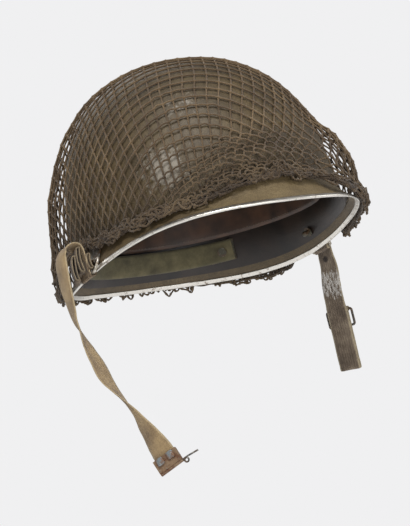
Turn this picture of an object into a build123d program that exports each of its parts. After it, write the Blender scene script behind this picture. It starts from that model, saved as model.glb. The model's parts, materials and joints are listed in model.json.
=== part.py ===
from build123d import *
from math import asin, atan2, cos, degrees, hypot, pi, radians, sin
import os

# A steel pot helmet with its fibre liner, camouflage net and webbing chin straps.
# Millimetres and degrees. +Z is up, the visor is at -Y and the wearer's left is +X.
# Angles go round from the visor: 0 front, 90 wearer's left, 180 back. The head opening's
# middle is the origin and the steel edge's lowest point is at z = 0.

# Steel pot: reach of the rim and of the waist above its flare, from the origin
rim_front = 139.0
rim_side = 122.5
rim_back = 141.0
rim_front_corner_share = 0.99
rim_back_corner_share = 0.98
waist_front = 117.5
waist_side = 111.8
waist_back = 125.5

# Steel pot: heights of the rim, the waist and the crown
visor_lift = 23.4
visor_corner_lift_share = 1.03
side_lift = 7.6
back_corner_lift = 1.4
back_lift = 7.1
waist_lift_front = 51.4
waist_lift_side = 35.1
waist_lift_back = 44.7
crown_height = 180.0
crown_lean = 18.4
steel = 1.1

# Roundness of the dome in height and in plan, and of the flare
height_power = 2.24
plan_power = 2.39
flare_power = 2.0

# Folded strip round the steel edge
edging_leg = 4.2
edging_wall = 0.5
edging_gap = 0.05

# Chin strap lug on each side, its bent wire bail and the webbing
lug_angle = 93.7
lug_width = 20.0
lug_plate = 0.9
plate_gap = 0.12
lug_low_rise_share = 0.36
lug_high_rise_share = 0.78
barrel_length = 13.0
barrel_wall = 0.9
wire_radius = 1.2
wire_gap = 0.08
bail_width = 24.4
bail_height = 13.0
bail_bend = 2.2
rest_gap = 0.4
web_width = 19.0
web_thickness = 1.5

# Long chin strap, on the wearer's right: size of its hanging run, its rise and its end fitting
long_drop = 162.0
long_rise = 26.0
long_reach = 19.4
clamp_wall = 0.8
clamp_gap = 0.4
clamp_length = 11.0
clamp_lap = 8.0
tab_size = 6.0
hook_radius = 0.7
hook_prong = 9.5
hook_eye = 1.7
hook_bend = 1.6
hook_lean = 29.0
fold_height = 20.0
fold_width = 4.0
fold_gap = 0.5

# Short chin strap, on the wearer's left: folded back up behind itself, with a buckle on the fold
short_drop = 115.0
short_fold_gap = 3.4
short_plumb_share = 0.3
short_fold_rise = 52.0
buckle_bar = 1.1
buckle_width = 23.6
buckle_height = 15.0
buckle_bend = 2.0
buckle_tilt = 3.0
snap_radius = 4.6
snap_plate = 1.0
snap_neck = 1.6
snap_place_share = 0.45

# Fibre liner under the steel
liner_gap = 1.4
liner_wall = 2.3
liner_inset = 11.0
stud_radius = 4.0
stud_height_share = 0.62
eyelet_radius = 4.6
eyelet_hole = 2.6
eyelet_height = 97.0

# Suspension inside the liner
washer_width = 24.0
washer_low = 56.0
washer_high = 81.0
washer_plate = 0.9
washer_slot = 3.0
rivet_height = 76.0
rivet_radius = 1.9
rivet_head_radius = 4.2
rivet_head = 0.6
fit_gap = 0.15
seat_gap = 0.55
webbing = 1.4
band_low = 51.0
band_sag = 4.0
lace_radius = 1.5
lace_reach = 27.0
lace_drop = 41.0
lace_back = 4.0
lace_bend = 7.0
strap_bulge_share = 0.72
lace_height = crown_height - lace_drop

# Sweatband, its clips and buckle, and the nape band
sweat_width = 32.0
sweat_wall = 1.5
sweat_gap = 1.6
clip_width = 8.0
clip_plate = 0.5
sweat_buckle_width = 9.0
sweat_buckle_wall = 1.0
nape_low = 17.0
nape_angle = 42.0
nape_sag = 9.0
nape_seat = 1.1

# Net over the steel: cord thickness, how far it stands off, and the gathered roll at its hem
net_wall = 1.6
net_gap = 0.6
net_stand = 18.0
hem_radius = 2.6
hem_squash_share = 0.7
hem_tuck_share = 0.2

# Counts and samples of the curves
ring_points = 72
hanger_count = 6
flare_levels = 8
dome_levels = 16
dome_top_share = 0.97
turn = 2 * pi
probe_share = 0.001
halvings = 40
standing = (Align.CENTER, Align.CENTER, Align.MIN)


def around(values, angle):
    """Smooth value at an angle, from values spaced evenly between the front and the back."""
    last = len(values) - 1
    total = 0
    for wave in range(last + 1):
        weight = 0
        for place, value in enumerate(values):
            half = 0.5 if place in (0, last) else 1
            weight += half * value * cos(pi * wave * place / last)
        half = 0.5 if wave in (0, last) else 1
        total += half * weight * cos(wave * angle) * 2 / last
    return total


def rim_reach(angle):
    front_corner = rim_front_corner_share * (rim_front + rim_side) / 2
    back_corner = rim_back_corner_share * (rim_side + rim_back) / 2
    return around((rim_front, front_corner, rim_side, back_corner, rim_back), angle)


def rim_lift(angle):
    front_corner = visor_corner_lift_share * visor_lift
    return around((visor_lift, front_corner, side_lift, back_corner_lift, back_lift), angle)


def waist_reach(angle):
    return around((waist_front, waist_side, waist_back), angle)


def waist_lift(angle):
    return around((waist_lift_front, waist_lift_side, waist_lift_back), angle)


def shell_point(angle, rise):
    """Point on the outside of the steel: rise 0 is the edge, 1 the waist and 2 the crown."""
    reach = waist_reach(angle)
    lift = waist_lift(angle)
    lean = 0
    if rise <= 1:
        flare = (rim_reach(angle) - reach) * (1 - rise) ** flare_power
        height = rim_lift(angle) + (lift - rim_lift(angle)) * rise
        reach += flare
    else:
        slope = min(rise - 1, 1) * pi / 2
        climb = sin(slope) ** (2 / height_power)
        reach *= max(cos(slope), 0) ** (2 / plan_power)
        height = lift + (crown_height - lift) * climb
        lean = crown_lean * climb ** 2
    return Vector(reach * sin(angle), lean - reach * cos(angle), height)


def radial(angle):
    return Vector(sin(angle), -cos(angle), 0)


def outward(angle, rise):
    """Unit normal of the steel's outside."""
    if rise > 2 - 2 * probe_share:
        return Vector(0, 0, 1)
    across = shell_point(angle + probe_share, rise) - shell_point(angle - probe_share, rise)
    upward = shell_point(angle, rise + probe_share) - shell_point(angle, rise - probe_share)
    return across.cross(upward).normalized()


def skin_point(angle, rise, stand):
    return shell_point(angle, rise) + outward(angle, rise) * stand


def rise_along(angle, distance):
    """Rise at a distance up the flare from the steel edge."""
    step = (shell_point(angle, probe_share) - shell_point(angle, 0)).length
    return distance * probe_share / step


def rise_at(angle, height, stand):
    """Rise at which a skin that stands off the steel's outside reaches a height."""
    low = 0
    high = 2
    for _ in range(halvings):
        middle = (low + high) / 2
        if skin_point(angle, middle, stand).Z < height:
            low = middle
        else:
            high = middle
    return low


def inside_point(angle, height, depth):
    """Point at a depth inside the steel's outside, at a height."""
    return skin_point(angle, rise_at(angle, height, -depth), -depth)


def lining_point(angle, height, depth):
    """The same, on a straight line between the sweatband's foot and the washers' tops."""
    foot = inside_point(angle, sweat_low, depth)
    top = inside_point(angle, washer_high, depth)
    return foot + (top - foot) * ((height - sweat_low) / (washer_high - sweat_low))


def inside_way(angle, height, depth):
    """Direction round the inside of the helmet."""
    step = probe_share
    way = inside_point(angle + step, height, depth) - inside_point(angle - step, height, depth)
    return way.normalized()


def ring_edge(place):
    """Closed smooth curve through place(angle) at even angles."""
    points = [place(turn * step / ring_points) for step in range(ring_points)]
    return Edge.make_spline(points, periodic=True, parameters=list(range(ring_points + 1)))


def dome(edge_rise, outer_stand, inner_stand, surface=skin_point):
    """Closed shell from an edge at edge_rise(angle) to the crown, between two stand-offs."""

    def wall(stand):
        rings = []
        for level in range(flare_levels + dome_levels):
            flare_share = min(level / flare_levels, 1)
            climb = dome_top_share * max(level - flare_levels, 0) / (dome_levels - 1)

            def place(angle):
                rise = edge_rise(angle) * (1 - flare_share) + flare_share + climb
                return surface(angle, rise, stand(angle, rise))

            rings.append(Wire([ring_edge(place)]))
        crown = surface(0, 2, stand(0, 2))
        return Shell.make_loft(rings + [Vertex(*crown)])

    outer = wall(outer_stand)
    inner = wall(inner_stand)
    edges = [skin.edges().sort_by(Axis.Z)[0] for skin in (outer, inner)]
    lip = Face.make_surface_from_curves(*edges)
    return Solid(Shell(outer.faces() + inner.faces() + [lip]))


def ring_solid(places):
    """Closed ring whose section has a corner at each place(angle)."""
    edges = [ring_edge(place) for place in places]
    return Solid(Shell(faces_between(edges)))


def faces_between(edges):
    """Ruled face between each edge and the one before it."""
    return [Face.make_surface_from_curves(edge, edges[number - 1]) for number, edge in enumerate(edges)]


def strip_solid(rows):
    """Closed strip through rows of four corners, from four corner curves."""
    faces = faces_between([Edge.make_spline(corners) for corners in zip(*rows)])
    for first, second, third, fourth in (rows[0], rows[-1]):
        side = Edge.make_line(first, second)
        facing = Edge.make_line(fourth, third)
        faces.append(Face.make_surface_from_curves(side, facing))
    return Solid(Shell(faces))


def ribbon(points, acrosses, width, thickness):
    """Flat strap through points, with its width along acrosses."""
    rows = []
    for number, point in enumerate(points):
        before = points[max(number - 1, 0)]
        after = points[min(number + 1, len(points) - 1)]
        along = (after - before).normalized()
        across = (acrosses[number] - along * acrosses[number].dot(along)).normalized()
        side = across * (width / 2)
        depth = along.cross(across) * (thickness / 2)
        front = point + depth
        back = point - depth
        rows.append((front + side, front - side, back - side, back + side))
    return strip_solid(rows)


def swung(way, turns):
    """Copies of a direction, swung about Z by each turn in degrees."""
    return [way.rotate(Axis.Z, swing) for swing in turns]


def slab(place, angle, width, low, high, outer_depth, inner_depth):
    """Small plate between two heights and two depths, with corners at place(angle, height, depth)."""
    half = width / 2 / waist_reach(angle)
    layers = []
    for height in (low, high):
        outer = [place(angle + swing, height, outer_depth) for swing in (-half, half)]
        inner = [place(angle + swing, height, inner_depth) for swing in (half, -half)]
        layers.append(Wire.make_polygon(outer + inner, close=True))
    return Solid.make_loft(layers, True)


def pin_plane(ends):
    """Plane at a pin's outer end, facing its inner end."""
    outer, inner = ends
    return Plane(outer, z_dir=(inner - outer).normalized())


def rivet(ends):
    """Rivet through the liner, from its outer head's top to its inner head's top."""
    outer, inner = ends
    length = (inner - outer).length
    shank = Cylinder(rivet_radius, length, align=standing)
    head = Cylinder(rivet_head_radius, rivet_head, align=standing)
    return pin_plane(ends).location * (shank + head + Pos(0, 0, length - rivet_head) * head)


def drill(ends, radius):
    """Round cutter through the liner wall and what lies on it."""
    return pin_plane(ends).location * Cylinder(radius, 2 * washer_width)


def wire_loop(plane, width, height, bend, radius):
    """Closed loop of bent wire, from the plane's origin down its -Y, with straight bars along X."""
    outline = RectangleRounded(width, height, bend, align=(Align.CENTER, Align.MAX)).wire()
    outline = plane.location * outline
    section = Plane(outline @ 0, z_dir=outline % 0).location * Circle(radius)
    return sweep(section, path=outline)


# The steel pot and its edging

def steel_shell():
    return dome(lambda angle: 0, lambda angle, rise: 0, lambda angle, rise: -steel)


def edging_point(angle, distance, stand):
    return skin_point(angle, rise_along(angle, distance), stand)


def rim_band():
    outside = edging_gap + edging_wall
    bottom = -outside
    corners = (
        (edging_leg, outside),
        (bottom, outside),
        (bottom, -steel - outside),
        (edging_leg, -steel - outside),
        (edging_leg, -steel - edging_gap),
        (-edging_gap, -steel - edging_gap),
        (-edging_gap, edging_gap),
        (edging_leg, edging_gap),
    )
    places = []
    for distance, stand in corners:

        def place(angle, distance=distance, stand=stand):
            return edging_point(angle, distance, stand)

        places.append(place)
    return ring_solid(places)


# Lugs, bails and straps: each is worked out for the wearer's left and mirrored for the right

barrel_radius = wire_radius + wire_gap + barrel_wall
barrel_stand = barrel_radius + fit_gap
lug_turn = radians(lug_angle)
barrel_rise = lug_low_rise_share - rise_along(lug_turn, barrel_radius)
barrel = skin_point(lug_turn, barrel_rise, barrel_stand)

# Directions at the lug: back along the rim, out from it and up
lug_step = shell_point(lug_turn + probe_share, barrel_rise) - shell_point(lug_turn, barrel_rise)
lug_back = lug_step.normalized()
lug_out = lug_back.cross(Vector(0, 0, 1)).normalized()
lug_up = lug_out.cross(lug_back)


def bail_slope(angle):
    """Angle out of plumb at which the hanging bail rests on the edging at an angle round the rim."""
    corner = edging_point(angle, -edging_gap - edging_wall, edging_gap + edging_wall) - barrel
    out = corner.dot(lug_out)
    down = -corner.dot(lug_up)
    clear = wire_radius + rest_gap
    return atan2(out, down) + asin(clear / hypot(out, down))


side_bar_turn = bail_width / 2 / rim_side
slope = max(bail_slope(lug_turn + swing) for swing in (-side_bar_turn, 0, side_bar_turn))
bail_down = lug_out * sin(slope) - lug_up * cos(slope)
strap_bar = barrel + bail_down * bail_height


def bar_at(centre, radius, length):
    """Round bar along the rim's direction."""
    return Plane(centre, x_dir=lug_up, z_dir=lug_back).location * Cylinder(radius, length)


def lug():
    """Plate that follows the steel, with a barrel curled at its lower edge."""
    half = lug_width / 2 / rim_side
    steps = 4
    rows = []
    for step in range(steps + 1):
        angle = lug_turn + half * (2 * step / steps - 1)
        corners = (
            (barrel_rise, plate_gap + lug_plate),
            (lug_high_rise_share, plate_gap + lug_plate),
            (lug_high_rise_share, plate_gap),
            (barrel_rise, plate_gap),
        )
        rows.append([skin_point(angle, rise, stand) for rise, stand in corners])
    curl = bar_at(barrel, barrel_radius, barrel_length)
    return strip_solid(rows) + curl - bar_at(barrel, wire_radius + wire_gap, 2 * barrel_length)


def bail():
    plane = Plane(barrel, x_dir=lug_back, z_dir=bail_down.cross(lug_back))
    return wire_loop(plane, bail_width, bail_height, bail_bend, wire_radius)


def strap_sleeve():
    """Webbing sewn round the bail's lower bar."""
    inside = wire_radius + wire_gap
    outside = inside + web_thickness
    return bar_at(strap_bar, outside, web_width) - bar_at(strap_bar, inside, 2 * web_width)


# The long strap's stations: out and back as shares of its reach, up as a share of its rise or
# drop, and the turn of its width in degrees
long_stations_shares = (
    (0.105, 0.0, 0.0, 0),
    (0.105, 0.0, 0.2, 0),
    (0.105, 0.0, 0.42, 0),
    (0.105, 0.0, 0.64, 0),
    (0.125, 0.0, 0.86, 0),
    (0.24, 0.02, 1.0, 0),
    (0.44, 0.1, 1.05, 0),
    (0.66, 0.26, 0.97, 0),
    (0.85, 0.42, 0.7, 0),
    (0.95, 0.46, 0.08, 0),
    (1.0, 0.32, -0.1, 8),
    (1.0, 0.16, -0.2, 19),
    (1.0, -0.1, -0.27, 36),
    (0.96, -0.33, -0.36, 55),
    (0.86, -0.62, -0.45, 68),
    (0.72, -0.88, -0.55, 66),
    (0.31, -1.35, -0.68, 36),
    (0.08, -1.7, -0.78, 8),
    (-0.14, -2.03, -0.88, -20),
    (-0.26, -2.26, -0.94, -36),
    (-0.36, -2.45, -1.0, -40),
)


def long_points():
    points = []
    for out_share, back_share, up_share, _ in long_stations_shares:
        level = lug_up * long_rise if up_share > 0 else Vector(0, 0, long_drop)
        flat = Vector(out_share, back_share, 0) * long_reach
        points.append(strap_bar + flat + level * up_share)
    return points


def long_turns():
    return [station[-1] for station in long_stations_shares]


def long_strap():
    acrosses = swung(lug_back, long_turns())
    return strap_sleeve() + ribbon(long_points(), acrosses, web_width, web_thickness)


def end_plane():
    """Frame at the long strap's end: X across the web, Z onwards."""
    points = long_points()
    along = (points[-1] - points[-2]).normalized()
    across = lug_back.rotate(Axis.Z, long_turns()[-1])
    across = (across - along * across.dot(along)).normalized()
    return Plane(points[-1], x_dir=across, z_dir=along)


def strap_folds():
    """Spare webbing folded in upright loops round the long strap's rise."""
    inside_width = fold_width - 2 * web_thickness
    loop = SlotOverall(fold_height, fold_width, rotation=90)
    loop -= SlotOverall(fold_height - 2 * web_thickness, inside_width, rotation=90)
    strap_out = long_stations_shares[0][0] * long_reach
    beside = web_thickness / 2 + fold_gap + fold_width / 2
    sleeve_top = wire_radius + wire_gap + web_thickness + fold_gap
    places = (
        (strap_out - beside, sleeve_top),
        (strap_out + beside, sleeve_top),
        (strap_out + beside + fold_width + fold_gap, sleeve_top - fold_width),
    )
    folds = []
    for out, low in places:
        middle = strap_bar + lug_out * out + lug_up * (low + fold_height / 2)
        plane = Plane(middle, x_dir=lug_out, z_dir=lug_back * -1)
        folds.append(plane.location * extrude(loop, web_width / 2, both=True))
    return Compound(children=folds)


def hook_tube():
    """Frame in the middle of the tube along the clamp's end: X across the web, Y behind the strap."""
    plane = end_plane()
    middle = plane.origin + plane.z_dir * (clamp_length - clamp_lap + hook_radius)
    return Plane(middle, x_dir=plane.x_dir, z_dir=plane.z_dir * -1)


clamp_wide = web_width + 2 * clamp_wall + 2 * clamp_gap
clamp_deep = web_thickness + 2 * clamp_wall + 2 * clamp_gap


def end_clamp():
    """Folded plate that grips the long strap's end, with two tabs in front and a tube for the hook."""
    body = Box(clamp_wide, clamp_deep, clamp_length, align=standing)
    body -= Box(web_width + 2 * clamp_gap, web_thickness + 2 * clamp_gap, 2 * (clamp_lap + clamp_gap))
    for side in (-1, 1):
        tab = Box(tab_size, clamp_wall, tab_size, align=(Align.CENTER, Align.MIN, Align.MIN))
        body += Pos(side * (clamp_wide / 2 - tab_size), clamp_deep / 2) * tab
    clamp = end_plane().location * Pos(0, 0, -clamp_lap) * body
    lying = hook_tube().location * Rot(0, 90, 0)
    clamp += lying * Cylinder(hook_radius + wire_gap + clamp_wall, clamp_wide)
    return clamp - lying * Cylinder(hook_radius + wire_gap, 2 * clamp_wide)


def end_hook():
    """Wire pin through the clamp's tube, with an eye beside the clamp and a prong that leans back."""
    frame = hook_tube()
    corner = clamp_wide / 2 + wire_gap + 2 * (hook_eye + hook_radius)
    lean = radians(hook_lean)
    tip = (-corner - hook_prong * cos(lean), hook_prong * sin(lean))
    path = FilletPolyline((clamp_wide / 2, 0), (-corner, 0), tip, radius=hook_bend)
    path = frame.location * path
    wire = sweep(Plane(path @ 0, z_dir=path % 0).location * Circle(hook_radius), path=path)
    eye_across = clamp_wide / 2 + wire_gap + hook_eye + hook_radius
    eye = Pos(-eye_across, 0, -hook_eye - hook_radius / 2) * Rot(90, 0, 0)
    return wire + frame.location * eye * Torus(hook_eye, hook_radius)


# The short strap's stations: out, back and down shares of its drop, and its turn
short_stations_shares = (
    (0.0, 0.0, 0.018, 0),
    (0.01, 0.0, 0.07, 2),
    (0.022, 0.01, 0.16, 8),
    (0.03, 0.03, 0.3, 16),
    (0.04, 0.045, 0.45, 22),
    (0.055, 0.06, 0.62, 26),
    (0.07, 0.075, 0.8, 27),
    (0.08, 0.085, 0.94, 27),
)


def short_points():
    points = []
    for out_share, back_share, down_share, _ in short_stations_shares:
        plumb = min(down_share / short_plumb_share, 1)
        up = lug_up + (Vector(0, 0, 1) - lug_up) * plumb
        points.append(strap_bar + (Vector(out_share, back_share, 0) - up * down_share) * short_drop)
    return points


def fold_plane():
    """Frame where the short strap folds: X towards its back layer, Y on down, Z across."""
    points = short_points()
    along = (points[-1] - points[-2]).normalized()
    across = lug_back.rotate(Axis.Z, short_stations_shares[-1][-1])
    across = (across - along * across.dot(along)).normalized()
    return Plane(points[-1], x_dir=along.cross(across), z_dir=across)


buckle_sleeve = buckle_bar + wire_gap + web_thickness
buckle_out = short_fold_gap + buckle_sleeve - web_thickness / 2


def short_strap():
    """Webbing down to a fold and back up behind itself, to a sleeve for the buckle's bar."""
    acrosses = swung(lug_back, [station[-1] for station in short_stations_shares])
    front = strap_sleeve() + ribbon(short_points(), acrosses, web_width, web_thickness)
    middle = Pos(short_fold_gap / 2, 0)
    hanging = (Align.CENTER, Align.MAX)
    bend = middle * Circle(short_fold_gap / 2 + web_thickness / 2)
    bend -= middle * Circle(short_fold_gap / 2 - web_thickness / 2)
    bend -= middle * Rectangle(2 * short_drop, short_drop, align=hanging)
    back = Pos(short_fold_gap, 0) * Rectangle(web_thickness, short_fold_rise, align=hanging)
    sleeve = Pos(buckle_out, -short_fold_rise) * Circle(buckle_sleeve)
    bore = Pos(buckle_out, -short_fold_rise) * Circle(buckle_bar + wire_gap)
    fold = fold_plane().location * extrude(bend + back + sleeve - bore, web_width / 2, both=True)
    return front + fold - snap_hole()


def snap_plane():
    """Frame on the back layer's outer face, facing away from the strap."""
    frame = fold_plane()
    place = frame.origin + frame.x_dir * (short_fold_gap + web_thickness / 2)
    place -= frame.y_dir * (short_fold_rise * snap_place_share)
    return Plane(place, x_dir=frame.z_dir, z_dir=frame.x_dir)


def snap_hole():
    drilled = Cylinder(snap_neck + edging_gap, 2 * web_thickness)
    return snap_plane().location * Pos(0, 0, -web_thickness) * drilled


def snap_stud():
    """Stud riveted through the back layer, with a rounded head."""
    cap = Pos(0, 0, edging_gap) * Cylinder(snap_radius, snap_plate, align=standing)
    crown = Pos(0, 0, edging_gap + snap_plate) * Cone(snap_radius, snap_neck, snap_plate, align=standing)
    inner = -web_thickness - edging_gap - snap_plate
    neck = Pos(0, 0, inner) * Cylinder(snap_neck, snap_plate - inner, align=standing)
    back = Pos(0, 0, inner) * Cylinder(2 * snap_neck, snap_plate, align=standing)
    return snap_plane().location * (cap + crown + neck + back)


def buckle():
    """Bent wire frame hung on the short strap's sleeve, lying along the back layer."""
    frame = fold_plane()
    origin = frame.origin + frame.x_dir * buckle_out - frame.y_dir * short_fold_rise
    down = frame.y_dir.rotate(Axis((0, 0, 0), frame.z_dir), -buckle_tilt)
    plane = Plane(origin, x_dir=frame.z_dir, z_dir=down.cross(frame.z_dir))
    return wire_loop(plane, buckle_width, buckle_height, buckle_bend, buckle_bar)


# Inside the liner, depths are measured in from the outside of the steel

liner_outer = steel + liner_gap
liner_inner = liner_outer + liner_wall
washer_outer = liner_inner + seat_gap
washer_inner = washer_outer + washer_plate
washer_bow = washer_width ** 2 / 8 / waist_side
band_outer = washer_inner + washer_bow + fit_gap
band_inner = band_outer + webbing
band_high = band_low + web_width
hanger_step = turn / hanger_count
hanger_angles = [hanger_step * (number + 0.5) for number in range(hanger_count)]
sweat_outer = band_inner + band_sag + sweat_gap
sweat_inner = sweat_outer + sweat_wall
sweat_low = band_high - sweat_width
nape_turn = radians(nape_angle)
nape_angles = [pi - nape_turn, pi + nape_turn]
nape_high = nape_low + web_width
nape_outer = liner_inner + nape_seat
nape_band_outer = nape_outer + washer_plate + washer_bow + fit_gap
stud_angles = [pi / 2, 3 * pi / 2]
head_depth = liner_outer - 2 * fit_gap - rivet_head


def pin(angle, height, place, inner_depth):
    """Ends of a pin square to the liner wall, its inner end at place(angle, height, inner_depth)."""
    rise = rise_at(angle, height, -liner_outer)
    outer = skin_point(angle, rise, -head_depth)
    inward = outward(angle, rise) * -1
    return outer, outer + inward * (place(angle, height, inner_depth) - outer).dot(inward)


def hanger_pin(angle):
    return pin(angle, rivet_height, lining_point, band_inner + seat_gap + rivet_head)


def nape_pin(angle):
    inner_depth = nape_band_outer + webbing + seat_gap + rivet_head
    return pin(angle, nape_low + web_width / 2, inside_point, inner_depth)


def stud_pin(angle):
    height = waist_lift(angle) * stud_height_share
    return pin(angle, height, inside_point, liner_inner + 3 * seat_gap + rivet_head)


def eyelet_pin():
    return pin(0, eyelet_height, inside_point, liner_inner + seat_gap + rivet_head)


def liner_shell():
    shell = dome(
        lambda angle: rise_along(angle, liner_inset),
        lambda angle, rise: -liner_outer,
        lambda angle, rise: -liner_inner,
    )
    pins = [hanger_pin(angle) for angle in hanger_angles]
    pins += [nape_pin(angle) for angle in nape_angles]
    pins += [stud_pin(angle) for angle in stud_angles]
    holes = [drill(ends, rivet_radius + edging_gap) for ends in pins]
    holes.append(drill(eyelet_pin(), eyelet_hole + rivet_head + edging_gap))
    return shell - holes


def liner_eyelet():
    outer, inner = eyelet_pin()
    length = (inner - outer).length
    flange = Cylinder(eyelet_radius, rivet_head, align=standing)
    tube = Cylinder(eyelet_hole + rivet_head, length, align=standing)
    eyelet = tube + flange + Pos(0, 0, length - rivet_head) * flange - Cylinder(eyelet_hole, 3 * length)
    return pin_plane((outer, inner)).location * eyelet


def level_plane(angle, height, outer_depth, inner_depth):
    """Plane on the lining at a height, with X round the helmet and Z inwards."""
    outer = lining_point(angle, height, outer_depth)
    inner = lining_point(angle, height, inner_depth)
    return Plane(outer, x_dir=inside_way(angle, height, outer_depth), z_dir=(inner - outer).normalized())


def washers():
    plates = []
    heights = (washer_low, washer_high)
    for angle in hanger_angles:
        plate = slab(lining_point, angle, washer_width, *heights, washer_outer, washer_inner)
        slot_plane = level_plane(angle, band_high, band_outer, band_inner)
        slot = slot_plane.location * Box(web_width, washer_slot, washer_width)
        plates.append(plate - slot - drill(hanger_pin(angle), rivet_radius + edging_gap))
    return Compound(children=plates)


def hanger_rivets():
    return Compound(children=[rivet(hanger_pin(angle)) for angle in hanger_angles])


def web_ring(low, high, outer_depth, wall):
    """Band all the way round inside, between two heights, at outer_depth(angle)."""
    places = []
    for height, extra in ((low, 0), (high, 0), (high, wall), (low, wall)):

        def place(angle, height=height, extra=extra):
            return lining_point(angle, height, outer_depth(angle) + extra)

        places.append(place)
    return ring_solid(places)


def headband_depth(angle):
    wave = (1 + cos(hanger_count * angle)) / 2
    return band_outer + band_sag * wave


def headband_web():
    return web_ring(band_low, band_high, headband_depth, webbing)


def sweatband():
    return web_ring(sweat_low, band_high, lambda angle: sweat_outer, sweat_wall)


def sweatband_clips():
    """Bent plates over the tops of the headband web and the sweatband, midway between washers."""
    clips = []
    outer = band_outer + band_sag - fit_gap - clip_plate
    inner = sweat_inner + fit_gap
    bridge_low = band_high + fit_gap
    bridge_high = bridge_low + clip_plate
    leg_low = band_high - web_width / 2
    for number in range(hanger_count):
        angle = hanger_step * number
        outer_leg = slab(lining_point, angle, clip_width, leg_low, bridge_high, outer, outer + clip_plate)
        inner_leg = slab(lining_point, angle, clip_width, leg_low, bridge_high, inner, inner + clip_plate)
        bridge = slab(lining_point, angle, clip_width, bridge_low, bridge_high, outer, inner + clip_plate)
        clips.append(outer_leg + bridge + inner_leg)
    return Compound(children=clips)


def sweatband_buckle():
    """Flat frame on the head side of the sweatband, beside its back clip."""
    inner = sweat_inner + washer_bow + fit_gap
    middle = (sweat_low + band_high) / 2
    tall = sweat_width - 2 * sweat_buckle_width
    angle = pi + hanger_step / 4
    low = middle - tall / 2
    high = middle + tall / 2
    plate = slab(lining_point, angle, web_width, low, high, inner, inner + sweat_buckle_wall)
    plane = level_plane(angle, middle, inner, inner + sweat_buckle_wall)
    return plate - plane.location * Box(sweat_buckle_width, tall / 2, sweat_width)


def crown_strap(angle):
    """Webbing from a washer up over the head to a loop round the crown lace."""
    middle = (band_outer + band_inner) / 2
    low = lining_point(angle, band_high + fit_gap + webbing, middle)
    leave = lining_point(angle, washer_high + webbing, middle)
    goal = Vector(0, lace_back, lace_height) + radial(angle) * lace_reach
    end = goal + radial(angle) * (lace_radius + wire_gap + webbing / 2)
    wall_way = inside_way(angle, washer_high, middle)
    lace_way = Vector(cos(angle), sin(angle), 0)
    points = [low, (low + leave) / 2]
    acrosses = [wall_way, wall_way]
    steps = 8
    for step in range(steps + 1):
        share = step / steps
        out_share = strap_bulge_share * cos(pi / 2 * share) + (1 - strap_bulge_share) * (1 - share)
        up_share = strap_bulge_share * sin(pi / 2 * share) + (1 - strap_bulge_share) * share
        flat = end + (leave - end) * out_share
        points.append(Vector(flat.X, flat.Y, leave.Z + (end.Z - leave.Z) * up_share))
        acrosses.append(wall_way * (1 - share) + lace_way * share)
    strap = ribbon(points, acrosses, web_width, webbing)
    seat = Plane(goal, x_dir=Vector(0, 0, 1), z_dir=lace_way).location
    strap += seat * Cylinder(lace_radius + wire_gap + webbing, web_width)
    strap -= seat * Cylinder(lace_radius + wire_gap, 2 * web_width)
    return strap - drill(hanger_pin(angle), rivet_radius + edging_gap)


def crown_lace():
    """Lace drawn through the six loops, straight in each."""
    outline = RegularPolygon(lace_reach, hanger_count, major_radius=False)
    outline = Rot(0, 0, degrees(hanger_step) / 2) * outline
    outline = fillet(outline.vertices(), lace_bend)
    path = (Pos(0, lace_back, lace_height) * outline).wire()
    section = Plane(path @ 0, z_dir=path % 0).location * Circle(lace_radius)
    return sweep(section, path=path)


def nape_band():
    """Webbing across the back of the head, slack between its two washers."""
    lap = washer_width / 2 / waist_back
    first = nape_angles[0] - lap
    last = nape_angles[1] + lap
    steps = 24
    rows = []
    for step in range(steps + 1):
        angle = first + (last - first) * step / steps
        share = min(max((angle - nape_angles[0]) / (2 * nape_turn), 0), 1)
        depth = nape_band_outer + nape_sag * sin(pi * share) ** 2
        corners = ((nape_low, 0), (nape_high, 0), (nape_high, webbing), (nape_low, webbing))
        rows.append([inside_point(angle, height, depth + extra) for height, extra in corners])
    holes = [drill(nape_pin(angle), rivet_radius + edging_gap) for angle in nape_angles]
    return strip_solid(rows) - holes


def nape_washers():
    plates = []
    for angle in nape_angles:
        inner = nape_outer + washer_plate
        plate = slab(inside_point, angle, washer_width, nape_low, nape_high, nape_outer, inner)
        plates.append(plate - drill(nape_pin(angle), rivet_radius + edging_gap))
    return Compound(children=plates)


def nape_rivets():
    return Compound(children=[rivet(nape_pin(angle)) for angle in nape_angles])


def strap_studs():
    """Turned studs inside the liner's sides, for its own chin strap."""
    studs = []
    for angle in stud_angles:
        ends = stud_pin(angle)
        length = (ends[1] - ends[0]).length
        neck = Cylinder(rivet_radius, length + stud_radius, align=standing)
        knob = Pos(0, 0, length + stud_radius) * Sphere(rivet_radius + rivet_head)
        studs.append(rivet(ends) + pin_plane(ends).location * (neck + knob))
    return Compound(children=studs)


# Net over the steel

# Hem stations round the helmet: angle, rise of the hem and how loose the net hangs there
hem_stations_shares = (
    (-180, -0.08, 1.0),
    (-128, -0.1, 1.0),
    (-108, 0.75, 0.25),
    (-96, 0.86, 0.0),
    (-80, 0.68, 0.0),
    (-60, 0.6, 0.0),
    (-40, 0.46, 0.0),
    (-24, 0.7, 0.0),
    (-6, 0.86, 0.0),
    (8, 0.7, 0.05),
    (22, -0.02, 0.7),
    (32, -0.2, 1.0),
    (74, -0.25, 1.0),
    (85, 0.92, 1.0),
    (102, 0.92, 1.0),
    (113, -0.15, 1.0),
    (180, -0.08, 1.0),
)

# Stand-off of the loose net: rise, and share of the full stand-off
drape_shares = (
    (-0.3, 0.34),
    (0.0, 0.42),
    (0.5, 0.92),
    (0.9, 1.0),
    (1.2, 0.7),
    (1.4, 0.36),
    (1.6, 0.16),
    (1.8, 0.06),
    (2.0, 0.02),
)


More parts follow.
